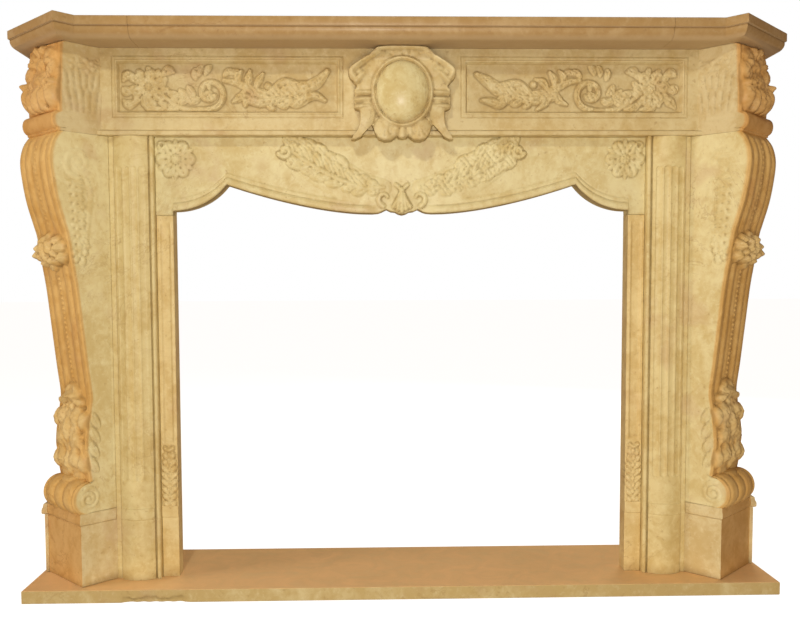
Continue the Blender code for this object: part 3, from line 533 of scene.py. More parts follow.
friezeStone = marble("frieze_marble", (0.895, 0.806, 0.825))
headerStone = marble("header_marble", (0.970, 0.930, 0.985))
stripStone = marble("strip_marble", (0.97, 0.885, 0.855))
jambStone = marble("jamb_marble", (1.02, 0.890, 0.840))
# Legs, corner blocks and pedestals carry painted warm side light on their outward faces
legStone = marble("leg_marble", (1.03, 0.985, 1.04), deepen=0.02, paintedSideLight="carved")
capStone = marble("cap_marble", (0.89, 0.80, 0.84), deepen=0.02, paintedSideLight="carved", cast="paintedSideLightDeep")
baseStone = marble("base_marble", (0.98, 0.90, 0.98), deepen=0.02, paintedSideLight="flat")
polished = marble("polished_boss", (0.94, 0.90, 0.93), roughness=0.27, bump=0.25, shadeAndDust=0.4)
# Shelf: its sides, front and soffit are a darker copy of the stone as painted shade, with painted bounce
# light under the moulding; the top face keeps the paler stone
shelfShadedStone = marble("shelf_shaded_marble", (0.665, 0.505, 0.470), deepen=0.05, roughness=0.34, bump=0.7,
                    under=0.75)
shelfTopStone = marble("shelf_top_marble", (0.98, 0.86, 0.86), deepen=0.03, roughness=0.34, bump=0.7)
hearthStone = marble("hearth_marble", (0.83, 0.75, 0.74), deepen=0.06, roughness=0.55, dusty=0.9)
print("materials ready")


# Frieze: one slab with mitred ends, two framed sunk fields and a fillet along the foot
frieze = {
    "fieldStart": 0.150,
    "fieldEnd": 0.642,
    "fieldLow": 1.115,
    "fieldHigh": 1.221,
    "sink": 0.010,
    "hidden": 0.0015,
    # Moulding round a field: (distance outwards, drop as a share of the sink)
    "frame": [(-1.0, -1.0), (-0.0005, -1.0), (0.0035, -0.12), (0.0045, 0.10), (0.0065, 0.18), (0.0085, 0.10),
              (0.0095, 0.0), (0.0135, 0.0), (0.0145, -0.24), (0.0158, -0.26), (0.0170, 0.0), (1.0, 0.0)],
    "fillet": 0.0095,
    "filletOut": 0.008,
    "slab": 0.045,
}


def friezeGround(x, z):
    f = frieze
    middle, half = (f["fieldStart"] + f["fieldEnd"]) / 2, (f["fieldEnd"] - f["fieldStart"]) / 2
    rise = (f["fieldLow"] + f["fieldHigh"]) / 2
    outside = np.maximum(np.abs(np.abs(x) - middle) - half, np.abs(z - rise) - (f["fieldHigh"] - rise))
    depth = f["sink"] + f["hidden"]
    drops = [d * (depth if d < -0.5 else f["sink"]) for o, d in f["frame"]]
    level = np.interp(outside, [o for o, d in f["frame"]], drops)
    foot = z - friezeBase
    level += f["filletOut"] * np.sqrt(ramp(foot, f["fillet"] + 0.003, f["fillet"] - 0.001))
    level -= 0.0012 * ramp(foot, 0.0015, 0.0)
    return level


def friezeLines(low, high):
    offsets = [o for o, d in frieze["frame"][1:-1]]
    return sorted([low - o for o in offsets] + [high + o for o in offsets])


def makeFrieze():
    # Grid lines: dense over the frames and the foot, a few between them
    between = [0.0, 0.06, 0.11] + list(np.linspace(0.2, 0.6, 9)) + [friezeHalf - 0.002, friezeHalf]
    xs = sorted(set(between + friezeLines(frieze["fieldStart"], frieze["fieldEnd"])))
    xs = np.array([-x for x in reversed(xs[1:])] + xs)
    foot = [0.0, 0.0007, 0.0015, 0.004, 0.0085, 0.0092, 0.0100, 0.0108, 0.0116, 0.0125]
    zs = [friezeBase + o for o in foot] + friezeLines(frieze["fieldLow"], frieze["fieldHigh"])
    zs = np.array(sorted(zs + [1.088, 1.14, 1.165, 1.19, 1.242, shelfBase - gap]))
    x, z = np.meshgrid(xs, zs)
    level = friezeGround(x, z)
    front = np.stack([x * np.where(np.abs(x) > friezeHalf - 0.001, 1 + level / friezeHalf, 1),
                      body["friezeFront"] - level, z], -1)
    mitre = (friezeHalf - frieze["slab"]) / friezeHalf
    # Painted shade: the sunk fields and a band under the shelf are darkened
    shade = 0.35 * ramp(-level, 0.001, 0.004) + 0.5 * ramp(z, shelfBase - 0.035, shelfBase - 0.008)
    piece = gridSolid("frieze_slab", front, body["friezeFront"] + frieze["slab"], shade, ["frieze"],
                      friezeStone, mitre)
    softenByAngle(piece, 25)


# Scroll panels: flower, ringed scroll and a leafy body that throws two blades towards the cartouche
scrolls = {
    "grid": 0.00098,
    "relief": 0.0095,
    "bold": 1.20,
    "soft": 0.85,
    "margin": 0.0012,
    "sepals": 11,
    "petals": 6,
    "ringRadii": (0.0370, 0.012),
    "bladeWidths": (0.0085, 0.0100, 0.0135),
    "left": {
        "flower": (-0.577, 1.170), "flowerSize": 0.040, "flowerTurn": 0.35,
        "tails": [[(-0.600, 1.140), (-0.622, 1.130), (-0.634, 1.139)],
                  [(-0.590, 1.137), (-0.575, 1.124), (-0.545, 1.119)],
                  [(-0.552, 1.135), (-0.530, 1.122), (-0.512, 1.120)],
                  [(-0.604, 1.190), (-0.625, 1.196), (-0.634, 1.184)],
                  [(-0.548, 1.196), (-0.532, 1.207), (-0.520, 1.203)],
                  [(-0.610, 1.160), (-0.628, 1.160), (-0.635, 1.166)]],
        "clumps": [(-0.532, 1.158, 2.6), (-0.524, 1.143, 3.0), (-0.506, 1.163, 2.2), (-0.498, 1.148, 2.7),
                   (-0.487, 1.171, 1.9), (-0.508, 1.134, 3.5), (-0.486, 1.137, 3.2)],
        "stem": [(-0.545, 1.150), (-0.515, 1.128), (-0.486, 1.119), (-0.462, 1.118), (-0.438, 1.119)],
        "ring": (-0.438, 1.156), "ringTurns": (-95, 330),
        "bud": [(-0.453, 1.151, 0.4), (-0.439, 1.165, 1.7), (-0.429, 1.150, 3.2)],
        "crown": [(-0.470, 1.188, 1.9), (-0.463, 1.196, 1.5), (-0.405, 1.196, 0.9), (-0.392, 1.200, 0.5),
                  (-0.448, 1.199, 1.3)],
        "link": [(-0.405, 1.185), (-0.380, 1.180), (-0.356, 1.170), (-0.330, 1.158), (-0.300, 1.150)],
        "fingers": [[(-0.352, 1.170), (-0.350, 1.190), (-0.346, 1.207)],
                    [(-0.335, 1.166), (-0.327, 1.185), (-0.317, 1.200)],
                    [(-0.372, 1.178), (-0.374, 1.195), (-0.366, 1.206)],
                    [(-0.360, 1.160), (-0.372, 1.145), (-0.386, 1.137)],
                    [(-0.340, 1.152), (-0.355, 1.138), (-0.358, 1.127)]],
        "leaf": [(-0.362, 1.148), (-0.330, 1.136), (-0.298, 1.137), (-0.264, 1.148), (-0.240, 1.157)],
        "knob": (-0.306, 1.172),
        "blades": [[(-0.286, 1.150), (-0.255, 1.166), (-0.220, 1.168), (-0.192, 1.182), (-0.170, 1.206)],
                   [(-0.262, 1.140), (-0.240, 1.134), (-0.216, 1.147), (-0.196, 1.150), (-0.177, 1.140)],
                   [(-0.300, 1.158), (-0.270, 1.180), (-0.240, 1.176), (-0.215, 1.180)]],
    },
    "right": {
        "flower": (0.577, 1.168), "flowerSize": 0.041, "flowerTurn": 0.1,
        "tails": [[(0.602, 1.150), (0.620, 1.138), (0.632, 1.124)],
                  [(0.588, 1.138), (0.575, 1.124), (0.552, 1.120)],
                  [(0.552, 1.135), (0.532, 1.122), (0.515, 1.121)],
                  [(0.604, 1.192), (0.622, 1.203), (0.632, 1.196)],
                  [(0.546, 1.192), (0.534, 1.206), (0.520, 1.205)],
                  [(0.612, 1.166), (0.628, 1.166), (0.635, 1.172)]],
        "clumps": [(0.532, 1.160, 0.5), (0.525, 1.143, 0.2), (0.506, 1.163, 1.0), (0.499, 1.145, 0.5),
                   (0.488, 1.173, 1.3), (0.509, 1.132, -0.3), (0.486, 1.135, 0.0)],
        "stem": [(0.545, 1.150), (0.512, 1.127), (0.486, 1.118), (0.455, 1.116), (0.430, 1.119)],
        "ring": (0.434, 1.156), "ringTurns": (275, -150),
        "bud": [(0.447, 1.150, 2.7), (0.434, 1.162, 1.5), (0.424, 1.148, -0.1)],
        "crown": [(0.472, 1.188, 1.2), (0.458, 1.197, 1.6), (0.412, 1.194, 2.2), (0.398, 1.199, 2.6),
                  (0.444, 1.200, 1.8)],
        "link": [(0.410, 1.186), (0.384, 1.182), (0.360, 1.170), (0.332, 1.158), (0.300, 1.150)],
        "fingers": [[(0.352, 1.172), (0.350, 1.190), (0.340, 1.205)],
                    [(0.336, 1.166), (0.325, 1.182), (0.308, 1.188)],
                    [(0.372, 1.178), (0.372, 1.196), (0.362, 1.207)],
                    [(0.356, 1.158), (0.362, 1.142), (0.380, 1.131)],
                    [(0.336, 1.150), (0.330, 1.134), (0.312, 1.120)]],
        "leaf": [(0.352, 1.150), (0.318, 1.142), (0.288, 1.142), (0.258, 1.152), (0.236, 1.158)],
        "knob": (0.303, 1.176),
        "blades": [[(0.280, 1.152), (0.250, 1.160), (0.222, 1.166), (0.196, 1.184), (0.172, 1.199)],
                   [(0.256, 1.150), (0.238, 1.142), (0.224, 1.132), (0.204, 1.138), (0.184, 1.141)],
                   [(0.292, 1.160), (0.268, 1.178), (0.240, 1.176), (0.214, 1.174)]],
    },
}


def carveScroll(c, plan, top):
    way = 1 if plan["ring"][0] < 0 else -1
    for path in plan["tails"]:
        c.lay(curveThrough(path), [0.004, 0.0095, 0.003], [0.5 * top, 0.8 * top, 0.55 * top], vein=0.35)
    c.lay(curveThrough(plan["stem"]), [0.0035, 0.0055, 0.0062], [0.5 * top, 0.7 * top], vein=0.25)
    for x, z, turn in plan["clumps"]:
        c.finger((x, z), turn + math.pi, 0.7 * way, 0.024, 0.0078, 0.75 * top)
    # Flower: a ring of sepals, the petals over them and a drill hole between each two
    spot, size, phase = np.array(plan["flower"]), plan["flowerSize"], plan["flowerTurn"]
    for k in range(scrolls["sepals"]):
        turn = phase + 2 * math.pi * k / scrolls["sepals"]
        c.finger(spot + 0.70 * size * toward(turn), turn, 0.9 * way, 0.017, 0.0062, 0.62 * top)
    c.flower(spot, 0.86 * size, scrolls["petals"], 0.95 * top, phase, split=0.45)
    for k in range(scrolls["petals"]):
        turn = phase + 2 * math.pi * (k + 0.5) / scrolls["petals"]
        c.pit(spot + 0.60 * size * toward(turn), 0.0022, 0.003)
    for x, z, turn in plan["crown"]:
        c.finger((x, z), turn, -0.8 * way, 0.023, 0.0068, 0.8 * top)
    # Ringed scroll round a bud, then the link to the leafy body
    ring = coil(plan["ring"], scrolls["ringRadii"], plan["ringTurns"], 44)
    c.lay(ring, [0.0062, 0.0058, 0.0045], [0.95 * top, 0.8 * top], vein=0.28, flat=0.6)
    for x, z, turn in plan["bud"]:
        c.finger((x, z), turn, 0.6, 0.015, 0.0055, 0.9 * top)
    c.dome(plan["ring"], 0.0062, 0.0062, 0.95 * top)
    c.lay(curveThrough(plan["link"]), [0.0045, 0.0075, 0.010], [0.7 * top, 0.8 * top], vein=0.3)
    for path in plan["fingers"]:
        c.lay(curveThrough(path), [0.0045, 0.0078, 0.0030], [0.55 * top, 0.9 * top, 0.75 * top], vein=0.35)
    c.acanthus(plan["leaf"], 0.030, 0.95 * top, -way)
    for path, wide in zip(reversed(plan["blades"]), scrolls["bladeWidths"]):
        c.lay(curveThrough(path), [0.8 * wide, wide, 0.95 * wide, 0.8 * wide, 0.40 * wide],
              [0.7 * top, 1.0 * top, 1.15 * top, 1.10 * top, 0.9 * top], vein=0.18, lean=0.12)
    c.dome(plan["knob"], 0.0085, 0.0085, 1.1 * top)
    c.pit(plan["knob"], 0.0022, 0.002)


def makePanel(name, plan):
    f = frieze
    margin = scrolls["margin"]
    side = 1 if plan["ring"][0] > 0 else -1
    ends = sorted([side * (f["fieldStart"] - margin), side * (f["fieldEnd"] + margin)])
    xs = stations([(ends[0], scrolls["grid"]), (ends[1], 0)])
    zs = stations([(f["fieldLow"] - margin, scrolls["grid"]), (f["fieldHigh"] + margin, 0)])
    x, z = np.meshgrid(xs, zs)
    c = Carving(x, z, moat=0.0006, bold=scrolls["bold"], soft=scrolls["soft"])
    carveScroll(c, plan, scrolls["relief"])
    c.fret(0.0044, 0.0020, 0.0026)
    edge = np.minimum(np.minimum(x - ends[0], ends[1] - x), np.minimum(z - zs[0], zs[-1] - z))
    level = blur(c.h, 1) * ramp(edge, 0.0008, 0.003)
    front = np.stack([x, body["friezeFront"] + f["sink"] - gap - level, z], -1)
    shade = np.clip(hollowOf(level, 16, 0.0024) + 0.42 * ramp(level, 0.0015, -0.0005), 0, 1)
    gridSolid(name, front, body["friezeFront"] + f["sink"] + 0.006, shade, [], friezeStone)


# Cartouche: oval boss in a ring, on a strapwork shield with wings above and shells below
shield = {
    "halfWide": 0.121,
    "boss": (0.0595, 0.0675),
    "bossRise": 0.475,
    "footFrom": 0.13,
    "footShare": 0.80,
    "plate": 0.034,
    "bossOut": 0.026,
    "ring": (1.105, 0.055),
    "ringOut": 0.0052,
    "rimPoints": 620,
    # Right half of the outline, in shares of the half width and of the height
    "outline": [(0.0, 1.000), (0.30, 1.000), (0.455, 0.993), (0.520, 0.960), (0.600, 0.905), (0.800, 0.828),
                (0.960, 0.762), (1.0, 0.735), (1.010, 0.690), (0.985, 0.640), (0.905, 0.590),
                (0.850, 0.548), (0.862, 0.520), (0.905, 0.508), (0.912, 0.420), (0.905, 0.300),
                (0.875, 0.285), (0.800, 0.272), (0.792, 0.200), (0.806, 0.100), (0.852, 0.010),
                (0.925, -0.055), (0.965, -0.104), (0.895, -0.110), (0.780, -0.070), (0.700, 0.000),
                (0.630, 0.085), (0.588, 0.112), (0.560, 0.080), (0.520, -0.020), (0.440, -0.098),
                (0.330, -0.130), (0.220, -0.120), (0.130, -0.075), (0.105, -0.050), (0.085, -0.078),
                (0.0, -0.092)],
}


def makeCartouche():
    s = shield
    wide, tall = s["halfWide"], bracketHigh[2] - friezeBase
    centre = np.array([0.0, friezeBase + s["bossRise"] * tall])

    def at(x, z):
        z = z if z > s["footFrom"] else s["footFrom"] - s["footShare"] * (s["footFrom"] - z)
        return np.array([x * wide, friezeBase + z * tall])
    # Evenly spaced outline, then shrunken copies of it down to the boss's middle
    half = [at(x, z) for x, z in s["outline"]]
    loop = np.array(half + [(-x, z) for x, z in half[-2:0:-1]])
    steps = np.linalg.norm(np.roll(loop, -1, 0) - loop, axis=1)
    run = np.concatenate([[0], np.cumsum(steps)])
    closed = np.vstack([loop, loop[:1]])
    place = np.linspace(0, run[-1], s["rimPoints"], endpoint=False)
    rim = np.stack([np.interp(place, run, closed[:, 0]), np.interp(place, run, closed[:, 1])], 1)
    shares = np.concatenate([[1.0, 0.997, 0.99, 0.98], np.linspace(0.965, 0.012, 66)])
    points = centre + shares[:, None, None] * (rim - centre)[None]
    x, z = points[..., 0], points[..., 1]
    c = Carving(x, z, moat=0.0016, moatWide=0.0026)
    c.h += s["plate"] - 0.012
    base = s["plate"]
    for side in (1, -1):
        def own(*path):
            return curveThrough([at(side * u, v) for u, v in path])
        # Wing: a broad strap with a thick rolled rim round a scooped field
        c.lay(own((0.40, 0.84), (0.62, 0.80), (0.80, 0.72), (0.80, 0.62), (0.66, 0.56)),
              [0.034, 0.036, 0.030, 0.022], [base * 0.88], edge=0.85)
        c.lay(own((0.46, 0.945), (0.60, 0.885), (0.78, 0.815), (0.935, 0.735), (0.930, 0.680), (0.83, 0.60)),
              [0.0095, 0.0110, 0.0080], [base * 1.12, base * 1.14, base * 0.98], edge=0.65, flat=0.8)
        c.lay(own((0.86, 0.60), (0.76, 0.665), (0.66, 0.745)), [0.0085, 0.0075, 0.0050],
              [base * 1.05, base * 1.04, base * 0.92], edge=0.7, flat=0.8, moat=0.5)
        c.pit(at(side * 0.715, 0.760), 0.0100, 0.0055)
        c.pit(at(side * 0.610, 0.745), 0.0060, 0.0030)
        # Side: three ribs turned over the edge
        for k in range(3):
            v = 0.315 + 0.078 * k
            c.lay(own((0.62, v + 0.004), (0.78, v), (0.885, v - 0.004)), [0.0076, 0.0080, 0.0064],
                  [base * 0.97, base * 1.00, base * 0.80], edge=0.6, flat=0.8, moat=0.7)
        c.pit(at(side * 0.90, 0.448), 0.0034, 0.008)
        # Foot: a broad pointed strap, then a rounded shell
        c.lay(own((0.64, 0.29), (0.71, 0.17), (0.78, 0.05), (0.93, -0.085)), [0.019, 0.022, 0.020, 0.010],
              [base * 0.92, base * 0.98, base * 0.92, base * 0.66], edge=0.72, flat=0.8, vein=0.03)
        c.lay(own((0.29, 0.13), (0.315, 0.04), (0.325, -0.03)), [0.021, 0.0285, 0.0255],
              [base * 0.98, base * 1.04], edge=0.62, flat=0.7)
        c.lay(own((0.10, 0.115), (0.135, 0.04), (0.155, -0.015)), [0.011, 0.014, 0.011],
              [base * 0.94, base * 0.98], edge=0.66, flat=0.7, moat=0.6)
        for lean in (-0.42, 0.0, 0.42):
            c.pit(at(side * (0.325 + 0.24 * lean), -0.050 + 0.03 * abs(lean)), 0.0030, 0.0024)
            c.pit(at(side * (0.320 + 0.16 * lean), -0.005), 0.0026, 0.0018)
    c.lay([at(0, 0.13), at(0, -0.085)], [0.0070, 0.0095], [base * 0.96, base], edge=0.7, moat=0.6)
    # Crest: scooped field under a rolled top edge
    c.lay(curveThrough([at(-0.50, 0.90), at(-0.30, 0.915), at(0, 0.93), at(0.30, 0.915), at(0.50, 0.90)]),
          [0.013, 0.016, 0.016, 0.013], [base * 0.84, base * 0.86], edge=0.85)
    c.lay(curveThrough([at(-0.47, 0.965), at(-0.25, 0.978), at(0, 0.980), at(0.25, 0.978), at(0.47, 0.965)]),
          [0.0042, 0.0048, 0.0042], [base * 1.06], edge=0.8)
    for u, v in ((-0.32, 0.93), (-0.20, 0.905), (0.14, 0.925), (0.33, 0.915), (0.02, 0.905)):
        c.pit(at(u, v), 0.0036, 0.0022)
    # Ring and boss: far is 1 at the boss's edge
    far = np.hypot(x / s["boss"][0], (z - centre[1]) / s["boss"][1])
    ringAt, ringHalf = s["ring"]
    ring = base + s["ringOut"] * np.sqrt(np.clip(1 - ((far - ringAt) / ringHalf) ** 2, 0, 1))
    c.h = np.where(far < 1.18, np.where(np.abs(far - ringAt) < ringHalf, ring, base * 0.93), c.h)
    c.h = np.where(far < 1.04, base * 0.91, c.h)
    dome = base + s["bossOut"] * np.sqrt(np.clip(1 - far ** 2, 0, 1))
    level = np.where(far < 0.999, dome, blur(c.h, 1))
    soften = ramp(np.broadcast_to((1 - shares)[:, None], x.shape), 0.0, 0.02)
    level = np.minimum(level, mix(level - 0.007, level, soften))
    rings = np.stack([x, body["friezeFront"] - level, z], -1)
    back = rings[:1].copy()
    back[..., 1] = body["friezeFront"] + 0.006
    shade = np.clip(hollowOf(level, 10, 0.0035) + 0.06, 0, 1)
    shade = np.where(far < 1.0, 0.0, np.where(far < 1.2, 0.55 * shade, shade))
    shade = np.vstack([np.full((1, x.shape[1]), 0.4), shade])
    piece = stackSolid("cartouche", np.concatenate([back, rings]), shade, [], friezeStone)
    mesh = piece.data
    mesh.polygons.foreach_set("use_smooth", np.ones(len(mesh.polygons), bool))
    # The boss alone is polished
    mesh.materials.append(polished)
    marks = np.zeros(len(mesh.polygons), np.int32)
    inner = (far[:-1] < 0.99) & (far[1:] < 0.99)
    marks[s["rimPoints"]:s["rimPoints"] * len(shares)] = inner.ravel()
    marks[-1] = 1
    mesh.polygons.foreach_set("material_index", marks)


# Apron: serpentine edge with a rolled border, two acanthus sprays, corner rosettes and a middle tuft
apron = {
    "cusp": 0.4055,
    "middle": 0.0864,
    "step": 0.010,
    "rise": 0.060,
    "dip": 0.006,
    "border": 0.0175,
    "relief": 0.0088,
    "rosette": (0.5215, 1.0085),
    "rosetteSize": 0.043,
    "spine": [(0.042, 0.944), (0.085, 0.942), (0.130, 0.956), (0.172, 0.976), (0.210, 0.997), (0.242, 1.018),
              (0.264, 1.0335)],
    "curl": (0.2700, 1.0260),
    "curlRadii": (0.0150, 0.0055),
    "hook": (0.0400, 0.9180),
    "hookRadii": (0.0180, 0.0080),
    "sprig": (0.5535, 1.0400),
    "gridRows": 112,
    "lobes": 10,
    # Reach of the lobes above and below the spine, at stations along it; then the rows of upper lobes,
    # each (start, length and height) as shares of the reach and the relief
    "upper": [0.026, 0.040, 0.068, 0.066, 0.052, 0.034, 0.020],
    "lower": [0.014, 0.022, 0.032, 0.044, 0.044, 0.026, 0.012],
    "rows": [(0.50, 0.50, 0.74), (0.0, 0.62, 0.92)],
}


def apronEdge(x):
    # Height of the lower edge: a quarter round from the jamb to the cusp, a long sweep to the middle
    a = apron
    half, foot = body["openingHalf"], body["slipTop"] + a["step"]
    away = np.abs(x)
    sweep = math.radians(55)
    radius = (half - a["cusp"]) / math.sin(sweep)
    swell = a["rise"] / (radius * (1 - math.cos(sweep)))
    arc = foot + swell * (radius - np.sqrt(np.maximum(radius ** 2 - (half - away) ** 2, 0)))
    t = np.clip((away - a["middle"]) / (a["cusp"] - a["middle"]), 0, 1)
    long = foot + mix(-a["dip"], a["rise"], t ** 1.6)
    tuft = body["slipTop"] + a["step"] * np.interp(
        away / a["middle"], [0, 0.10, 0.19, 0.30, 0.42, 0.56, 0.65, 0.80, 1.0],
        [0.10, 0.30, 0.75, 0.85, 1.35, 0.75, 0.50, 0.38, 1 - a["dip"] / a["step"]])
    edge = np.where(away < a["middle"], tuft, np.where(away < a["cusp"], long, arc))
    return np.where(away > half, body["slipTop"], edge)


def carveApron(c, low):
    a = apron
    top = a["relief"]
    lift = c.z - low
    away = np.abs(c.x)
    inside = ramp(away, a["middle"] * 0.62, a["middle"]) * (away < body["openingHalf"])
    roll = lift / a["border"]
    band = 0.62 * top * np.sqrt(np.clip(1 - (1.9 * roll - 0.9) ** 2, 0, 1)) * (roll < 1.0)
    band = np.maximum(band, 0.16 * top * ramp(roll, 1.65, 1.45) * ramp(roll, 0.9, 1.0))
    groove = 0.0013 * np.exp(-((roll - 1.06) / 0.10) ** 2) + 0.0008 * np.exp(-((roll - 1.70) / 0.10) ** 2)
    c.h = np.maximum(c.h, band * inside) - groove * inside
    shares = [0, 0.1, 0.3, 0.5, 0.72, 0.9, 1]
    for side in (1, -1):
        def own(path):
            return [(side * u, v) for u, v in path]
        spine = own(a["spine"])
        # Broad leaf body, then two rows of soft overlapping lobes above the spine and one below
        c.lay(curveThrough(spine), [0.018, 0.034, 0.042, 0.040, 0.034, 0.024, 0.012],
              [0.35 * top, 0.50 * top], edge=0.15, moat=0.3, flat=0.9)
        pts = curveThrough(spine, 8)
        last = len(pts) - 1
        for start, share, high in a["rows"]:
            for k in range(a["lobes"]):
                along = 0.97 - 0.90 * k / (a["lobes"] - 1)
                spot = int(along * last)
                ahead = pts[min(spot + 1, last)] - pts[max(spot - 1, 0)]
                heading = math.atan2(ahead[1], ahead[0])
                uneven = 1.0 + 0.10 * math.sin(2.6 * k + 5 * start)
                upper = uneven * np.interp(along, shares, a["upper"]) * 1.2
                turn = heading + side * (0.95 - 0.35 * start)
                foot = pts[spot] + start * upper * toward(turn)
                c.finger(foot, turn, -0.75 * side, share * upper, 0.0112, high * top)
                if start == 0:
                    lower = uneven * np.interp(along, shares, a["lower"]) * 1.15
                    c.finger(pts[spot], heading - side * 0.80, 0.75 * side, lower, 0.0106, 0.80 * top)
        c.lay(pts, [0.0040, 0.0050, 0.0045, 0.0034], [0.70 * top, 0.84 * top, 0.80 * top], edge=0.6, moat=0.2)
        c.fret(0.0046, 0.0012, 0.0026, ramp(lift, 0.020, 0.024))
        curl, hook, rosette, sprig = own([a["curl"], a["hook"], a["rosette"], a["sprig"]])
        c.lay(coil(curl, a["curlRadii"], (200, 560) if side < 0 else (-20, -380), 36),
              [0.0058, 0.0050, 0.0040], [1.05 * top, 0.95 * top], vein=0.2)
        c.dome(curl, 0.0056, 0.0056, 1.1 * top)
        # The border's end turns up in a small hook beside the tuft
        c.lay(coil(hook, a["hookRadii"], (-100, -330) if side < 0 else (-80, 150), 40),
              [0.0056, 0.0046, 0.0034], [0.60 * top, 0.70 * top], vein=0.10)
        # Corner rosette: six notched petals, leaf tips between them and a ringed sprig
        spot, size = np.array(rosette), a["rosetteSize"]
        for k in range(6):
            turn = math.radians(60 * k + 30)
            c.finger(spot + 0.5 * size * toward(turn), turn, 0.0, 0.52 * size, 0.0062, 0.60 * top)
        c.flower(spot, 0.93 * size, 6, 0.80 * top, split=0.5)
        for k in range(6):
            c.pit(spot + 0.52 * size * toward(math.radians(60 * k)), 0.0034, 0.0022)
        c.lay(coil(sprig, (0.0085, 0.0065), (0, 340), 20), [0.0026], [0.6 * top])
        c.finger((side * 0.5470, 1.0300), -1.2 if side > 0 else 4.3, 0.4, 0.016, 0.004, 0.55 * top)
    # Middle tuft: short strokes that fan from a bead
    for k in (-2, 2, -1, 1, 0):
        foot = (0.0095 * k, 0.889 + 0.005 * abs(k))
        c.lay(curveThrough([(0.0014 * k, 0.934), (0.0048 * k, 0.915), foot]), [0.0026, 0.0048, 0.0052],
              [0.6 * top, 0.95 * top, 0.8 * top], edge=0.3)
    c.dome((0, 0.938), 0.0070, 0.0065, 0.9 * top)
    c.finger((-0.004, 0.940), 2.2, 0.5, 0.018, 0.0048, 0.7 * top)
    c.finger((0.004, 0.940), 0.94, -0.5, 0.018, 0.0048, 0.7 * top)


def makeApron():
    end, half = slipHigh[0], body["openingHalf"]
    xs = stations([(0.0, 0.00115), (0.30, 0.0017), (0.35, 0.0030), (0.388, 0.0012), (0.402, 0.0030),
                   (0.455, 0.0012), (half - 0.0002, 0.0004), (half + 0.0002, 0.0012),
                   (end - 0.015, 0.0020), (end, 0)])
    xs = np.concatenate([-xs[:0:-1], xs])
    rise = np.linspace(0, 1, apron["gridRows"])
    low = apronEdge(xs)
    high = friezeBase - gap
    x = np.broadcast_to(xs[None], (len(rise), len(xs)))
    z = low[None] + (high - low)[None] * rise[:, None]
    c = Carving(x, z, moat=0.0010, moatWide=0.0021)
    carveApron(c, low[None])
    level = blur(c.h, 1) - 0.0016 * ramp(z - low[None], 0.0022, 0.0)
    front = np.stack([x, body["slipFront"] - level, z], -1)
    gridSolid("apron_slab", front, apronBack, hollowOf(level, 16, 0.0022), ["apron"], headerStone)


# Slips: inner jambs with a shallow hollow, a husk drop above a banded plinth
slip = {
    "band": 0.028,
    "bandOut": 0.0026,
    "dropLow": 0.190,
    "dropHigh": 0.336,
    "husks": 8,
    "relief": 0.0088,
    "margin": 0.0075,
    "hollow": 0.0034,
}


def makeSlip(side, node):
    left, right = slipLow[0], slipHigh[0]
    foot, head = slipLow[2], slipHigh[2]
    top = body["plinthTop"]
    low, high, relief = slip["dropLow"], slip["dropHigh"], slip["relief"]
    xs = stations([(left, 0.0006), (left + 0.002, 0.00115), (right - 0.002, 0.0006), (right, 0)])
    zs = stations([(foot, 0.0005), (foot + 0.001, 0.035), (top - slip["band"] - 0.002, 0.0007),
                   (top + 0.001, 0.0016), (high + 0.012, 0.0030), (high + 0.04, 0.05),
                   (head - 0.05, 0.0030), (head, 0)])
    x, z = np.meshgrid(xs, zs)
    c = Carving(x, z, moat=0.0010, moatWide=0.0018)
    middle = (left + right) / 2
    edge = np.minimum(x - left, right - x)
    run = ramp(z, high + 0.010, high + 0.022) * ramp(z, head - 0.012, head - 0.026)
    c.h -= slip["hollow"] * ramp(edge, slip["margin"], slip["margin"] + 0.004) * run
    c.h += 0.0009 * np.exp(-((edge - slip["margin"] + 0.0015) / 0.0014) ** 2) * run
    # Husk drop: a long leaf body, pairs of husks up it with a bud between each two, and a tie on top
    c.lay(curveThrough([(middle, low + 0.006), (middle, 0.5 * (low + high)), (middle, high - 0.006)]),
          [0.008, 0.0145, 0.0150, 0.011], [0.50 * relief], edge=0.2, moat=0.4, flat=0.9)
    for k in range(slip["husks"]):
        level = mix(low + 0.008, high - 0.024, k / (slip["husks"] - 1))
        wide = mix(0.62, 1.0, math.sin(math.pi * (k + 1) / (slip["husks"] + 1)))
        for s in (1, -1):
            c.finger((middle + s * 0.002, level), math.pi / 2 - s * 0.72, -s * 0.35, 0.0205 * wide,
                     0.0062, (0.86 + 0.10 * (k % 2)) * relief, vein=0.22)
        c.dome((middle + 0.0008 * (-1) ** k, level + 0.009), 0.0048, 0.0062, relief, moat=0.6)
    c.lay([(middle - 0.010, high + 0.001), (middle, high - 0.005), (middle + 0.010, high + 0.001)],
          [0.0042], [0.95 * relief], vein=0.2)
    c.dome((middle, high - 0.004), 0.006, 0.005, 1.05 * relief)
    c.fret(0.0026, 0.0014, 0.0022)
    level = blur(c.h, 1)
    inBand = ramp(z, top - slip["band"], top - slip["band"] + 0.0008) * ramp(z, top, top - 0.0016)
    level = np.where(z < top, slip["bandOut"] * inBand, level)
    level -= 0.0007 * np.exp(-((z - top + slip["band"] + 0.0004) / 0.0008) ** 2)
    level -= 0.0012 * ramp(edge, 0.0012, 0.0)
    front = np.stack([side * x, body["slipFront"] - level, z], -1)
    shade = np.clip(hollowOf(level, 8, 0.0022) + 0.5 * ramp(right - x, 0.004, 0.0), 0, 1)
    gridSolid(node.replace("slip", "jamb"), front, slipHigh[1], shade, [node], jambStone)


# Pilasters: bead, quirk, convex strip with four flutes, and a flat fillet beside the console
pilaster = {
    "bead": 0.0105,
    "beadOut": 0.0062,
    "quirk": 0.0012,
    "fillet": 0.0115,
    "crown": 0.0180,
    "spring": 0.0040,
    "flutes": 4,
    "fluteDeep": (0.0022, 0.0030),
    "fluteLow": 0.262,
    "fluteHigh": 0.990,
    "bandOut": 0.0030,
}


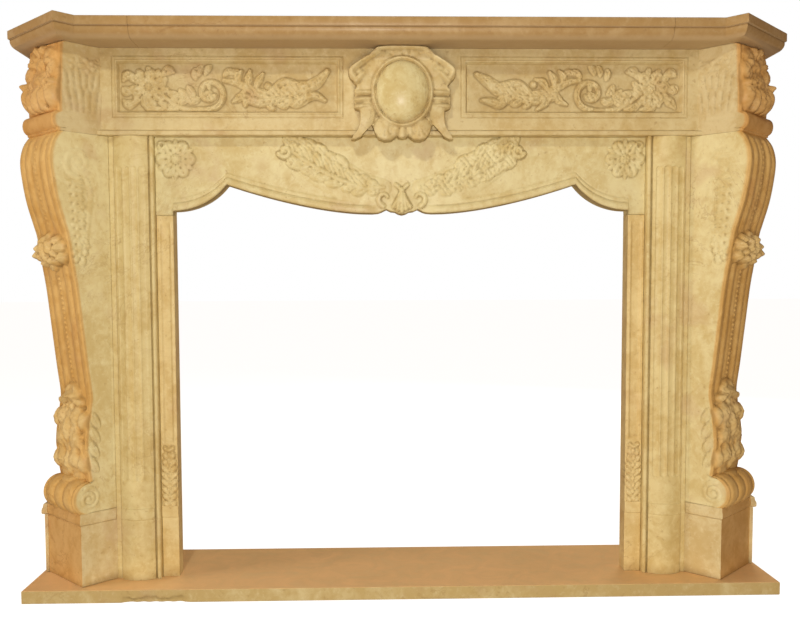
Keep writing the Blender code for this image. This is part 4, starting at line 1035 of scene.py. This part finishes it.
def makePilaster(side, node):
    p = pilaster
    left, right = pilasterLow[0], plinthLow[0] + 0.0002
    base, head = pilasterLow[2], pilasterHigh[2]
    start, end = left + p["bead"] + p["quirk"], right - p["fillet"]
    low, high = p["fluteLow"], p["fluteHigh"]
    top = body["plinthTop"]
    xs = stations([(left, 0.0007), (start, 0.0004), (start + 0.002, 0.00105), (end - 0.002, 0.0004),
                   (end + 0.001, 0.002), (right, 0)])
    zs = stations([(base, 0.0005), (base + 0.001, 0.04), (top - 0.031, 0.0008), (top + 0.001, 0.012),
                   (low - 0.004, 0.0014), (low + 0.014, 0.08), (high - 0.014, 0.0014), (high + 0.004, 0.02),
                   (head - 0.001, 0.0005), (head, 0)])
    x, z = np.meshgrid(xs, zs)
    u = np.clip(2 * (x - start) / (end - start) - 1, -1, 1)
    swell = p["spring"] + (p["crown"] - p["spring"]) * (1 - u ** 2)
    pitch = (end - start) / (p["flutes"] + 0.7)
    deep = p["fluteDeep"][side > 0]
    for k in range(p["flutes"]):
        middle = start + pitch * (k + 0.85)
        half = 0.40 * pitch
        past = np.maximum(low + half - z, 0) + np.maximum(z - high + half, 0)
        far = np.hypot(x - middle, past) / half
        swell = swell - deep * np.sqrt(np.clip(1 - far ** 2, 0, 1))
        swell = swell + 0.0005 * np.exp(-((far - 1.1) / 0.1) ** 2)
    inBand = ramp(z, top - 0.028, top - 0.0265) * ramp(z, top + 0.0005, top - 0.003)
    swell = swell + p["bandOut"] * inBand + 0.0012 * (z < top - 0.028)
    edge = ramp(np.minimum(x - start, end - x), 0.0, 0.0016)
    level = np.where((x > start) & (x < end), swell * edge, 0.0)
    along = np.clip((x - left) / p["bead"], 0, 1)
    bead = p["beadOut"] * np.sqrt(np.clip(1 - (2 * along - 1) ** 2, 0, 1))
    level = np.where(x <= left + p["bead"], bead, level)
    # Quirks on both sides of the strip and a scored line under the band
    fromBead, fromEnd = x - left - p["bead"], x - end
    level = level - (0.0018 * np.exp(-(fromBead / 0.0009) ** 2) + 0.0010 * np.exp(-(fromEnd / 0.0010) ** 2))
    level = level - 0.0008 * np.exp(-((z - top + 0.0285) / 0.0009) ** 2) * (level > 0.001)
    front = np.stack([side * x, legFace - level, z], -1)
    near = np.exp(-(fromBead / 0.0022) ** 2) + 0.6 * np.exp(-(fromEnd / 0.0030) ** 2)
    shade = np.clip(0.9 * near + 0.25 * hollowOf(level, 3, 0.002), 0, 1)
    gridSolid(node.replace("pilaster", "fluted_strip"), front, pilasterHigh[1], shade, [node], stripStone)


# Consoles and brackets: a block whose near side and carved face are wrapped by one sheet
# Places on them are (across, up) for the face and (outwards, up) for the near side, in metres
console = {
    "grid": 0.00205,
    "columns": 76,
    "nearStep": 0.0019,
    "fade": 0.45,
    "roll": (-0.0215, 0.0308),
    "rollRadius": 0.0308,
    "shaft": [(-0.0330, 0.0685), (-0.0300, 0.0900), (-0.0270, 0.120), (-0.0240, 0.150), (-0.0290, 0.200),
              (-0.0370, 0.245), (-0.0385, 0.270), (-0.0310, 0.330), (-0.0210, 0.420), (-0.0110, 0.510),
              (-0.0020, 0.567), (0.0080, 0.631), (0.0160, 0.660), (0.0300, 0.7076), (0.0390, 0.7557),
              (0.0430, 0.7986), (0.0370, 0.8295), (0.0260, 0.8484), (0.0160, 0.8587)],
    # Reeds and bands: (share of the width, height as a share)
    "reeds": [(0.0, 0.0), (0.015, 0.0), (0.10, 0.0), (0.13, -0.5), (0.16, -1.0), (0.19, -0.4),
              (0.22, 0.25), (0.26, 0.35), (0.30, 0.2), (0.33, -0.6), (0.36, -1.0), (0.40, -0.9),
              (0.44, -0.3), (0.50, 0.0), (0.56, -0.3), (0.60, -0.9), (0.64, -1.0), (0.67, -0.6),
              (0.70, 0.2), (0.74, 0.35), (0.78, 0.25), (0.81, -0.4), (0.84, -1.0), (0.87, -0.5),
              (0.90, 0.0), (1.0, 0.0)],
    "bands": [(0.0, 0.1), (0.05, 0.2), (0.08, -1), (0.11, 0.3), (0.15, 0.7), (0.24, 1.0), (0.33, 0.5),
              (0.36, -1), (0.39, 0.2), (0.43, 0.8), (0.50, 1.0), (0.57, 0.8), (0.61, 0.2), (0.64, -1),
              (0.67, 0.5), (0.76, 1.0), (0.85, 0.7), (0.89, 0.3), (0.92, -1), (0.95, 0.2), (1.0, 0.1)],
    "bandsOut": 0.0042,
    "grooves": (0.0026, 0.0042),
    "leafTop": 0.0190,
    "clusterTop": 0.0340,
    "blossoms": 15,
    # Leaf masses: (across, up, half width, half height, height as a share of leafTop)
    "lumps": [(0.030, 0.214, 0.028, 0.026, 1.10), (0.060, 0.208, 0.014, 0.024, 0.85),
              (0.000, 0.190, 0.016, 0.040, 1.12), (0.032, 0.164, 0.026, 0.018, 0.82),
              (0.028, 0.118, 0.030, 0.024, 1.10), (0.060, 0.112, 0.014, 0.024, 0.86),
              (0.000, 0.110, 0.016, 0.032, 1.05), (0.018, 0.258, 0.018, 0.014, 1.25)],
    "eyes": [(0.020, 0.240, 0.0075), (0.050, 0.184, 0.0058), (0.048, 0.140, 0.0070), (0.014, 0.144, 0.0045),
             (0.062, 0.160, 0.0048), (0.052, 0.236, 0.0060)],
    "leafSizes": (0.036, 0.048, 0.056, 0.058, 0.050),
    "scroll": 0.0017,
    "scrollAt": (-0.016, 0.792),
}
bracket = {
    "grid": 0.00175,
    "columns": 84,
    "nearStep": 0.0020,
    "fade": 0.25,
    "profile": [(0.0215, 0.0), (0.0240, 0.0020), (0.0235, 0.0080), (0.0250, 0.0100), (0.0325, 0.0140),
                (0.0350, 0.0235), (0.0325, 0.0325), (0.0240, 0.0370), (0.0195, 0.0395), (0.0185, 0.0440),
                (0.0190, 0.0560), (0.0190, 0.0800), (0.0180, 0.1050), (0.0165, 0.1300), (0.0150, 0.1550),
                (0.0135, 0.1780), (0.0120, 0.1957)],
    "leafTop": 0.0200,
    "scroll": 0.0028,
    "lumps": [(0.040, 0.166, 0.030, 0.024, 0.62), (0.108, 0.164, 0.032, 0.026, 0.66),
              (0.074, 0.180, 0.024, 0.014, 0.50), (0.074, 0.148, 0.022, 0.022, 0.78),
              (0.024, 0.135, 0.022, 0.026, 0.74), (0.126, 0.132, 0.022, 0.028, 0.82),
              (0.020, 0.082, 0.019, 0.034, 1.18), (0.047, 0.074, 0.020, 0.036, 1.32),
              (0.075, 0.072, 0.020, 0.038, 1.42), (0.103, 0.074, 0.020, 0.036, 1.32),
              (0.130, 0.084, 0.019, 0.034, 1.22), (0.075, 0.112, 0.040, 0.022, 1.02),
              (0.138, 0.108, 0.011, 0.012, 1.34), (0.014, 0.106, 0.010, 0.011, 1.10)],
    "tongues": [(0.060, 0.120, 215, 0.034), (0.090, 0.120, 325, 0.034), (0.050, 0.150, 160, 0.026),
                (0.100, 0.152, 20, 0.026), (0.070, 0.170, 110, 0.022), (0.084, 0.172, 70, 0.022)],
    "eyes": [(0.050, 0.139, 0.0052), (0.101, 0.140, 0.0052), (0.034, 0.112, 0.0040), (0.117, 0.113, 0.0040),
             (0.061, 0.050, 0.0032), (0.089, 0.050, 0.0032), (0.033, 0.056, 0.0030), (0.117, 0.056, 0.0030)],
}


def faceLine(path, tall, step, above):
    # Even points down the face, their run along it, and a finder of the run at a height
    path[:, 1] *= tall / path[-1, 1]
    steps = np.linalg.norm(np.diff(path, axis=0), axis=1)
    length = np.concatenate([[0], np.cumsum(steps)])
    run = np.linspace(0, length[-1], int(length[-1] / step) + 1)
    profile = np.stack([np.interp(run, length, path[:, k]) for k in (0, 1)], 1)
    upper = profile[:, 1] > above

    def at(up):
        return float(np.interp(up, profile[upper, 1], run[upper]))
    return profile, run, at


def wrapBlock(name, plan, profile, run, carveFront, carveNear, base, side, node, material):
    # profile: (outwards, up) points of the face; carving is laid on (across, run) and on (outwards, up)
    wide, deep = body["consoleWidth"], body["cantDepth"]
    step = np.gradient(profile, axis=0)
    step /= np.linalg.norm(step, axis=1)[:, None]
    normal = np.stack([step[:, 1], -step[:, 0]], 1)
    t, l = np.meshgrid(np.linspace(0, wide, plan["columns"]), run)
    c = Carving(t, l, moat=0.0016, moatWide=0.0030)
    carveFront(c)
    ends = ramp(l, 0.0, 0.004) * ramp(run[-1] - l, 0.0, 0.004)
    rim = np.minimum(t, wide - t)
    level = (blur(c.h, 1) + body["swell"]) * ends * mix(0.7, 1.0, ramp(rim, 0.0, 0.0040))
    level -= 0.0014 * ramp(rim, 0.0022, 0.0) * ends
    out = profile[:, 0][:, None] + normal[:, 0][:, None] * level
    up = profile[:, 1][:, None] + normal[:, 1][:, None] * level
    face = np.stack([out, t, up], -1)
    # Near side, from the leg's face to the carved edge
    foot, head = profile[0, 1], profile[-1, 1]
    backLine = foot + (head - foot) * np.linspace(0, 1, len(run))
    share = np.linspace(0, 1, int(deep / plan["nearStep"]), endpoint=False)[None]
    s = -deep + (face[:, 0, 0] + deep)[:, None] * share
    upNear = backLine[:, None] + (face[:, 0, 2] - backLine)[:, None] * share ** 1.6
    n = Carving(s, upNear, moat=0.0006, moatWide=0.0024)
    carveNear(n)
    hold = ramp(1 - share, 0.0, 0.05) * ramp(share, 0.0, 0.03) * ramp(upNear, foot, foot + 0.004)
    hold = hold * ramp(head - upNear, 0.0, 0.004)
    lift = blur(n.h, 1) * hold
    near = np.stack([s, -lift, upNear], -1)
    sheet = np.concatenate([near, face], axis=1)
    corners = np.array([[-deep, wide, foot], [-deep, wide, head]])

    def world(v):
        spot = cantCorner + v[..., 0:1] * outWay + v[..., 1:2] * acrossWay
        return np.stack([side * spot[..., 0], spot[..., 1], base + v[..., 2]], -1)
    shade = np.concatenate([hollowOf(lift, 8, 0.0020), hollowOf(level, 14, 0.0050)], axis=1)
    # Painted warm side light: the carved face and the near side's arris take the side tint, less on the
    # raised carving
    paler = 1 - plan["fade"] * ramp(level - body["swell"], 0.002, 0.012)
    sideLightShare = np.concatenate([ramp(share, 0.93, 1.0) * np.ones_like(lift), paler], axis=1)
    wrapSolid(name, world(sheet), world(corners), shade, sideLightShare, [node], material)


def makeConsole(side, node):
    k = console
    a = np.radians(np.linspace(-88, 100, 26))
    roll = np.array(k["roll"]) + k["rollRadius"] * np.stack([np.cos(a), np.sin(a)], 1)
    roll[0, 1] = 0.0
    path = np.vstack([roll, curveThrough([roll[-1]] + k["shaft"], 8)[1:]])
    path[:, 1] = np.maximum(path[:, 1], 0)
    profile, run, at = faceLine(path, consoleHigh[2] - consoleLow[2], k["grid"], 0.08)
    wide = body["consoleWidth"]
    middle = wide / 2

    def carveFront(c):
        t, l = c.x, c.z
        cross = np.interp(t / wide, [p for p, d in k["reeds"]], [d for p, d in k["reeds"]])
        shaft = ramp(l, at(0.240), at(0.275)) * ramp(l, at(0.575), at(0.560))
        head = ramp(l, at(0.625), at(0.650)) * ramp(l, at(0.8500), at(0.8380))
        c.h += k["grooves"][side > 0] * cross * np.maximum(shaft, head)
        # Pearls down the middle reed, below the cluster and above it
        c.pearls((middle, at(0.292)), (middle, at(0.552)), 23, 0.0038, 0.0028)
        c.pearls((middle, at(0.655)), (middle, at(0.832)), 16, 0.0034, 0.0014)
        # Roll: bands tied round it
        bands = np.interp(t / wide, [p for p, d in k["bands"]], [d for p, d in k["bands"]])
        c.h += k["bandsOut"] * bands * (ramp(l, 0.008, 0.014) * ramp(l, 0.108, 0.098))
        # Acanthus that climbs from the roll and curls over at its tip
        low, tip = at(0.086), at(0.262)
        top = k["leafTop"]
        c.lay(curveThrough([(middle, low), (middle, mix(low, tip, 0.5)), (middle, tip - 0.004)]),
              [0.050, 0.058, 0.046, 0.036], [0.45 * top, 0.55 * top, 0.8 * top, 0.9 * top], edge=0.45)
        for j, size in enumerate(k["leafSizes"]):
            level = mix(tip - 0.030, low + 0.004, j / 4)
            for w in (1, -1):
                c.finger((middle + w * 0.004, level), math.pi / 2 - w * 0.78, -w * 0.75, size, 0.0135,
                         (0.90 - 0.06 * j) * top, vein=0.25)
                c.finger((middle + w * 0.006, level + 0.003), math.pi / 2 - w * 1.22, -w * 0.6,
                         0.92 * size, 0.0105, (0.78 - 0.06 * j) * top, vein=0.25)
        for u, v, ru, rv, h in k["lumps"]:
            for w in (1, -1):
                c.dome((middle + w * u, at(v)), ru, rv, h * top, flat=0.75, moat=0.7)
        for u, v, radius in k["eyes"]:
            for w in (1, -1):
                c.pit((middle + w * u, at(v)), radius, 0.008)
        lip = [(middle - 0.040, tip - 0.014), (middle, tip + 0.002), (middle + 0.040, tip - 0.014)]
        c.lay(curveThrough(lip), [0.0105, 0.0165, 0.0105], [1.10 * top, 1.40 * top, 1.10 * top],
              edge=0.35, flat=0.7)
        c.pit((middle, tip + 0.022), 0.0150, 0.0060)
        c.fret(0.0042, 0.0018, 0.0060)
        # Flower cluster at the waist: a mound with leaves round it and blossoms over it
        waist = at(0.598)
        crown = k["clusterTop"]
        c.dome((middle, waist), 0.066, 0.034, 0.55 * crown, flat=0.9)
        for angle in range(-150, 200, 60):
            turn = math.radians(angle)
            spot = (middle + 0.040 * math.cos(turn), waist + 0.018 * math.sin(turn))
            c.finger(spot, turn, 0.6, 0.022, 0.0130, 0.45 * crown, vein=0.2)
        for j in range(k["blossoms"]):
            # Spread as on a seed head, largest in the middle
            turn, far = 2.4 * j, math.sqrt((j + 0.4) / k["blossoms"])
            spot = np.array([middle, waist]) + np.array([0.064, 0.031]) * far * toward(turn)
            r = mix(0.0185, 0.0120, far)
            h = mix(1.0, 0.72, far ** 2) * (1 + 0.10 * math.sin(3.1 * j))
            c.dome(spot, r, r, h * crown)
            for petal in range(5):
                c.pit(spot + 0.66 * r * toward(turn + petal * 2 * math.pi / 5), 0.0028, 0.0052)
            c.dome(spot, 0.26 * r, 0.26 * r, 1.05 * h * crown, flat=0.6, moat=0.8)
        c.fret(0.0034, 0.0026, 0.0090)

    def carveNear(n):
        top = k["scroll"]
        # Faint scroll under the shoulder, its tail, a rough leaf drop by the arris, and the roll's spiral
        for inner, last, half in ((0.010, 330, 0.0050), (0.024, 120, 0.0062)):
            n.lay(coil(k["scrollAt"], (0.034, inner), (-85, last), 48), [half], [top], vein=0.4, edge=0.1)
        n.dome(k["scrollAt"], 0.0080, 0.0080, 1.1 * top)
        n.lay(curveThrough([(-0.028, 0.600), (-0.036, 0.660), (-0.044, 0.720), (-0.034, 0.756)]),
              [0.0035, 0.0052, 0.0052], [0.8 * top, top], vein=0.4, edge=0.1)
        for j in range(9):
            level = 0.752 - 0.0185 * j
            spot = -0.006 - 0.0014 * j
            for turn, bend in ((-0.55, 0.5), (-2.2, -0.5), (-1.35, 0.2), (-2.9, -0.4)):
                n.finger((spot, level), turn, bend, 0.0185 - 0.0004 * j, 0.0056, (2.0 + 0.3 * (j % 3)) * top)
            n.pit((spot + 0.009, level - 0.010), 0.0026, 0.0024)
            n.pit((spot - 0.010, level - 0.006), 0.0022, 0.0020)
        n.flower(np.array([-0.014, 0.588]), 0.018, 5, 3.2 * top, 0.3)
        n.flower(np.array([-0.026, 0.610]), 0.012, 5, 2.4 * top, 0.9)
        n.dome((-0.020, 0.570), 0.008, 0.007, 2.6 * top)
        n.lay(coil(k["roll"], (0.0262, 0.0060), (75, 700), 64), [0.0040, 0.0032, 0.0026],
              [1.7 * top, 1.4 * top], vein=0.1, edge=0.1)
        n.dome(k["roll"], 0.0062, 0.0062, 2.4 * top)
        # Side lobes of the acanthus turned over the arris
        for j in range(4):
            level = 0.095 + 0.034 * j
            n.finger((-0.044 - 0.002 * j, level), 0.9, 0.4, 0.032, 0.0100, 3.2 * top)
        # Scored line beside the leg's face
        n.h -= 0.0008 * np.exp(-((n.x + body["cantDepth"] - 0.006) / 0.0016) ** 2)
    wrapBlock(node.replace("console", "scroll_leg"), k, profile, run, carveFront, carveNear, consoleLow[2],
              side, node, legStone)


def makeBracket(side, node):
    k = bracket
    profile, run, at = faceLine(curveThrough(k["profile"]), bracketHigh[2] - bracketLow[2], k["grid"], 0.040)
    middle = body["consoleWidth"] / 2

    def carveFront(c):
        top = k["leafTop"]
        low, tip = at(0.046), at(0.184)
        # A lumpy leaf mass that hangs from the shelf and swells outwards above the torus
        c.lay(curveThrough([(middle, mix(low, tip, share)) for share in (0, 0.35, 0.7, 1)]),
              [0.056, 0.074, 0.070, 0.060], [0.70 * top, 0.90 * top, 0.45 * top, 0.25 * top], flat=0.9)
        for u, v, ru, rv, h in k["lumps"]:
            c.dome((u, at(v)), ru, rv, h * top, flat=0.75, moat=0.5)
        for u, v, turn, long in k["tongues"]:
            c.finger((u, at(v)), math.radians(turn), 0.5 if u < middle else -0.5, long, 0.0092, 1.02 * top,
                     vein=0.22)
        for u, v, radius in k["eyes"]:
            c.pit((u, at(v)), radius, 0.011)
        c.fret(0.0040, 0.0022, 0.0060)
        # The torus at the foot stays plain
        c.h *= ramp(c.z, at(0.0405), at(0.0500))

    def carveNear(n):
        top = k["scroll"]
        # Two rows of upright leaves, flowers over them, a line over the torus
        for j in range(6):
            s = -0.070 + 0.0145 * j
            n.finger((s, 0.046), 1.62 - 0.03 * j, 0.25 - 0.1 * j, 0.054 + 0.006 * (j % 2), 0.0062, top,
                     vein=0.4)
            n.finger((s + 0.006, 0.098), 1.50, 0.6 - 0.2 * j, 0.040, 0.0058, top, vein=0.4)
        for s, up, r in ((-0.046, 0.150, 0.016), (-0.016, 0.150, 0.014), (-0.070, 0.160, 0.010)):
            n.flower(np.array([s, up]), r, 5, 1.15 * top, s * 30)
        n.h -= 0.0010 * np.exp(-((n.z - 0.0315) / 0.0016) ** 2)
        n.h = np.where(n.z < 0.030, np.maximum(n.h, 0.0), n.h)
    wrapBlock(node.replace("bracket", "corner_block"), k, profile, run, carveFront, carveNear, bracketLow[2],
              side, node, capStone)


# Shelf, plinths and hearth: rings stacked up their mouldings
shelf = {
    "fascia": 0.020,
    "ovolo": 0.022,
    "ovoloDepth": 0.024,
    "step": 0.004,
    "arris": 0.0016,
    "breakOut": 0.035,
    "endRun": 0.112,
}


def shelfLevels():
    # (depth inwards, height) up the ovolo, the step and the fascia with its rounded arrises
    step, ovolo, a = shelf["step"], shelf["ovolo"], shelf["arris"]
    levels = []
    for k in range(13):
        turn = k / 12 * math.pi / 2
        levels.append((step + shelf["ovoloDepth"] * (1 - math.sin(turn)),
                       shelfBase + ovolo * (1 - math.cos(turn))))
    top = shelfHigh[2]
    under = top - shelf["fascia"]
    levels += [(step + 0.0006, shelfBase + ovolo + 0.0008), (step + 0.0006, under - 0.0006),
               (step - 0.0004, under), (a, under + 0.0002), (0.3 * a, under + 0.5 * a),
               (0.0, under + 1.2 * a), (0.0, top - 1.3 * a), (0.3 * a, top - 0.5 * a), (a, top - 0.1 * a),
               (1.9 * a, top)]
    return levels


def insetRings(plan, exposed, levels, side):
    return [[(side * x, y, z) for x, y in insetPlan(plan, [depth * e for e in exposed])]
            for depth, z in levels]


def makeShelf():
    joint = shelfLow[0]
    breakX = joint + shelf["endRun"]
    noseX = breakX + shelf["breakOut"]
    front = shelfLow[1]
    setBack = front + shelf["breakOut"]
    plan = [(joint, setBack), (breakX, setBack), (noseX, front),
            (shelfHigh[0], front + shelfHigh[0] - noseX), (shelfHigh[0], wall), (joint, wall)]
    shades = [0.5, 0.4, 0.3, 0.2, 0.15, 0.1, 0.05, 0, 0, 0, 0, 0.1, 0.35, 0.9, 0.9, 0.5, 0.1] + [0] * 6
    lengths = []
    for side, name in ((1, "shelf_right"), (-1, "shelf_left")):
        rings = insetRings(plan, (1, 1, 1, 1, 0, 0), shelfLevels(), side)
        lengths.append(stackSolid(name.replace("shelf", "shelf_end"), rings, shades, [name], shelfShadedStone))
    end = joint - 2 * gap
    rings = [[(-end, setBack + depth, z), (end, setBack + depth, z), (end, wall, z), (-end, wall, z)]
             for depth, z in shelfLevels()]
    lengths.append(stackSolid("shelf_middle", rings, shades, ["shelf_centre"], shelfShadedStone))
    for piece in lengths:
        softenByAngle(piece, 30)
        piece.data.materials.append(shelfTopStone)
        piece.data.polygons[-1].material_index = 1


plinth = {"band": 0.028, "bandOut": 0.004, "width": 0.165}


def makePlinths():
    far = cantCorner + plinth["width"] * acrossWay
    backX = plinthHigh[0]
    plan = [tuple(cantInner), tuple(cantCorner), tuple(far), (backX, far[1] + far[0] - backX),
            (backX, wall), (cantInner[0], wall)]
    top = body["plinthTop"] - gap
    base = top - plinth["band"]
    out = plinth["bandOut"]
    # (depth inwards, height, painted shade with dust) up the die and the cap band
    foot = plinthLow[2]
    levels = [(0.0012, foot, 0.8), (0.0, foot + 0.0012, 0.5), (0.0, foot + 0.02, 0.05),
              (0.0, base - 0.001, 0.1), (0.0006, base, 0.7), (-0.25 * out, base + 0.0012, 0.2),
              (-0.8 * out, base + 0.003, 0), (-out, base + 0.006, 0), (-out, base + 0.012, 0),
              (-0.85 * out, base + 0.016, 0), (-0.55 * out, base + 0.0185, 0.15),
              (-0.45 * out, base + 0.022, 0.1), (-0.4 * out, base + 0.025, 0.05),
              (0.1 * out, top - 0.0008, 0.3), (0.5 * out, top, 0.6)]
    for side, name in ((1, "plinth_right"), (-1, "plinth_left")):
        rings = insetRings(plan, (1, 1, 1, 1, 0, 0), [level[:2] for level in levels], side)
        shades = [level[2] for level in levels]
        softenByAngle(stackSolid(name.replace("plinth", "pedestal"), rings, shades, [name], baseStone), 28)


hearth = {
    "chipStart": -0.645,
    "chipEnd": -0.487,
    "chipDepth": 0.0060,
    "dense": (-0.66, -0.47),
    "arris": 0.0012,
}


def makeHearth():
    half, front = hearthHigh[0], hearthLow[1]
    chipStart, chipEnd = hearth["chipStart"], hearth["chipEnd"]
    xs = np.unique(np.concatenate([np.linspace(-half, half, 60),
                                   np.linspace(*hearth["dense"], 70)]))
    a = hearth["arris"]
    top = hearthHigh[2]
    heights = [0.0, a, 0.004, 0.0075, 0.011, 0.0145, 0.018, top - a, top]
    # The chip: a ragged upper edge, deepest along the foot
    chip = ramp(xs, chipStart, chipStart + 0.012) * ramp(xs, chipEnd, chipEnd - 0.02)
    edge = 0.0150 + 0.0035 * np.sin(xs * 95) + 0.0016 * np.sin(xs * 310 + 1)
    rings = []
    for z in heights:
        inset = a if z in (0.0, top) else 0
        deep = hearth["chipDepth"] * chip * ramp(z, edge, edge * 0.45) * (1 + 0.25 * np.sin(xs * 230))
        ring = [(x, front + inset + d, z) for x, d in zip(xs, deep)]
        ring[0], ring[-1] = (-half + inset, front + inset, z), (half - inset, front + inset, z)
        ring += [(half - inset, wall, z), (-half + inset, wall, z)]
        rings.append(ring)
    shades = np.zeros((len(heights), len(rings[0])))
    softenByAngle(stackSolid("hearth", rings, shades, ["hearth_slab"], hearthStone), 30)


makeFrieze()
makePanel("scroll_panel_left", scrolls["left"])
makePanel("scroll_panel_right", scrolls["right"])
makeCartouche()
print("frieze carved")
makeApron()
print("apron carved")
for side, hand in ((1, "right"), (-1, "left")):
    makeSlip(side, "slip_" + hand)
    makePilaster(side, "pilaster_" + hand)
    makeConsole(side, "console_" + hand)
    makeBracket(side, "bracket_" + hand)
    slab = frame["nodes"]["side_slab_" + hand]
    slab.data.materials.clear()
    slab.data.materials.append(baseStone)
print("legs carved")
makeShelf()
makePlinths()
makeHearth()
print("shelf, plinths and hearth stacked")


# Floor, camera and light: a white room, a key lamp from above the front left, one beside the lens and
# softer ones from the left, from low in front and from behind
floorLook = {
    "half": 30,
    "dark": (0.42, 0.42, 0.42, 1),
    "pale": (0.45, 0.45, 0.45, 1),
    "glow": 0.93,
}


def makeFloor():
    mesh = bpy.data.meshes.new("floor")
    half = floorLook["half"]
    mesh.from_pydata([(-half, -half, 0), (half, -half, 0), (half, half, 0), (-half, half, 0)], [],
                     [(0, 1, 2, 3)])
    floor = bpy.data.objects.new("floor", mesh)
    bpy.context.collection.objects.link(floor)
    material = bpy.data.materials.new("pale_floor")
    material.use_nodes = True
    tree = material.node_tree
    shader = tree.nodes["Principled BSDF"]
    tone = Wire(tree).add("ShaderNodeTexCoord", out=3).noise(1.7, 3.0).between(0.2, 0.8)
    colour = tone.blend(floorLook["dark"], floorLook["pale"])
    tree.links.new(colour.socket, shader.inputs["Base Color"])
    shader.inputs["Roughness"].default_value = 0.8
    shader.inputs["Specular IOR Level"].default_value = 0.0
    shader.inputs["Emission Color"].default_value = (1, 1, 1, 1)
    shader.inputs["Emission Strength"].default_value = floorLook["glow"]
    mesh.materials.append(material)
    floor.visible_diffuse = False
    floor.visible_glossy = False
    floor.visible_shadow = False


view = {
    "place": (-0.0707, -2.0881, 0.7283),
    "yaw": 0.0247,
    "pitch": -0.0608,
    "roll": -0.0037,
    "lens": 39.58,
    "shift": (0.0075, 0.0304),
}
# Lamps: place, height aimed at on the middle line, size, power and tint
lamps = {
    "key": ((-0.50, -1.80, 2.35), 0.80, 0.12, 13.0, (1.0, 0.97, 0.88)),
    "flash": ((-0.075, -2.10, 0.90), 0.75, 0.10, 8.0, (1.0, 1.0, 1.0)),
    "side": ((-3.1, -0.9, 1.2), 0.80, 0.80, 27.0, (1.0, 0.86, 0.78)),
    "low": ((0.0, -3.2, -0.2), 1.00, 2.00, 60.0, (1.0, 0.88, 0.74)),
    "back": ((1.6, 3.0, 1.8), 0.70, 1.50, 45.0, (1.0, 0.95, 0.88)),
}
ambient = {"tint": (1.0, 0.64, 0.40, 1), "strength": 0.20}


def makeCamera():
    data = bpy.data.cameras.new("camera")
    data.lens = view["lens"]
    data.sensor_width = 36
    data.sensor_fit = "HORIZONTAL"
    data.shift_x, data.shift_y = view["shift"]
    data.clip_end = 200
    camera = bpy.data.objects.new("camera", data)
    bpy.context.collection.objects.link(camera)
    camera.matrix_world = (Matrix.Translation(view["place"]) @ Matrix.Rotation(-view["yaw"], 4, "Z")
                           @ Matrix.Rotation(math.pi / 2 + view["pitch"], 4, "X")
                           @ Matrix.Rotation(view["roll"], 4, "Z"))
    bpy.context.scene.camera = camera


def makeLights():
    for name, (place, aimHeight, size, power, tint) in lamps.items():
        data = bpy.data.lights.new(name, "AREA")
        data.shape = "DISK"
        data.size = size
        data.energy = power
        data.color = tint
        light = bpy.data.objects.new(name, data)
        bpy.context.collection.objects.link(light)
        light.location = place
        away = light.location - Vector((0.0, 0.0, aimHeight))
        light.rotation_euler = away.to_track_quat("Z", "Y").to_euler()
        light.visible_glossy = name == "flash"
    world = bpy.data.worlds.new("room")
    world.use_nodes = True
    bpy.context.scene.world = world
    tree = world.node_tree
    room = tree.nodes["Background"]
    room.inputs["Color"].default_value = ambient["tint"]
    room.inputs["Strength"].default_value = ambient["strength"]
    white = tree.nodes.new("ShaderNodeBackground")
    white.inputs["Color"].default_value = (1, 1, 1, 1)
    path = tree.nodes.new("ShaderNodeLightPath")
    choose = tree.nodes.new("ShaderNodeMixShader")
    tree.links.new(path.outputs["Is Camera Ray"], choose.inputs[0])
    tree.links.new(room.outputs[0], choose.inputs[1])
    tree.links.new(white.outputs[0], choose.inputs[2])
    tree.links.new(choose.outputs[0], tree.nodes["World Output"].inputs[0])
    bpy.context.scene.view_settings.view_transform = "Standard"


makeFloor()
makeCamera()
makeLights()
print("floor, camera and lamps set")
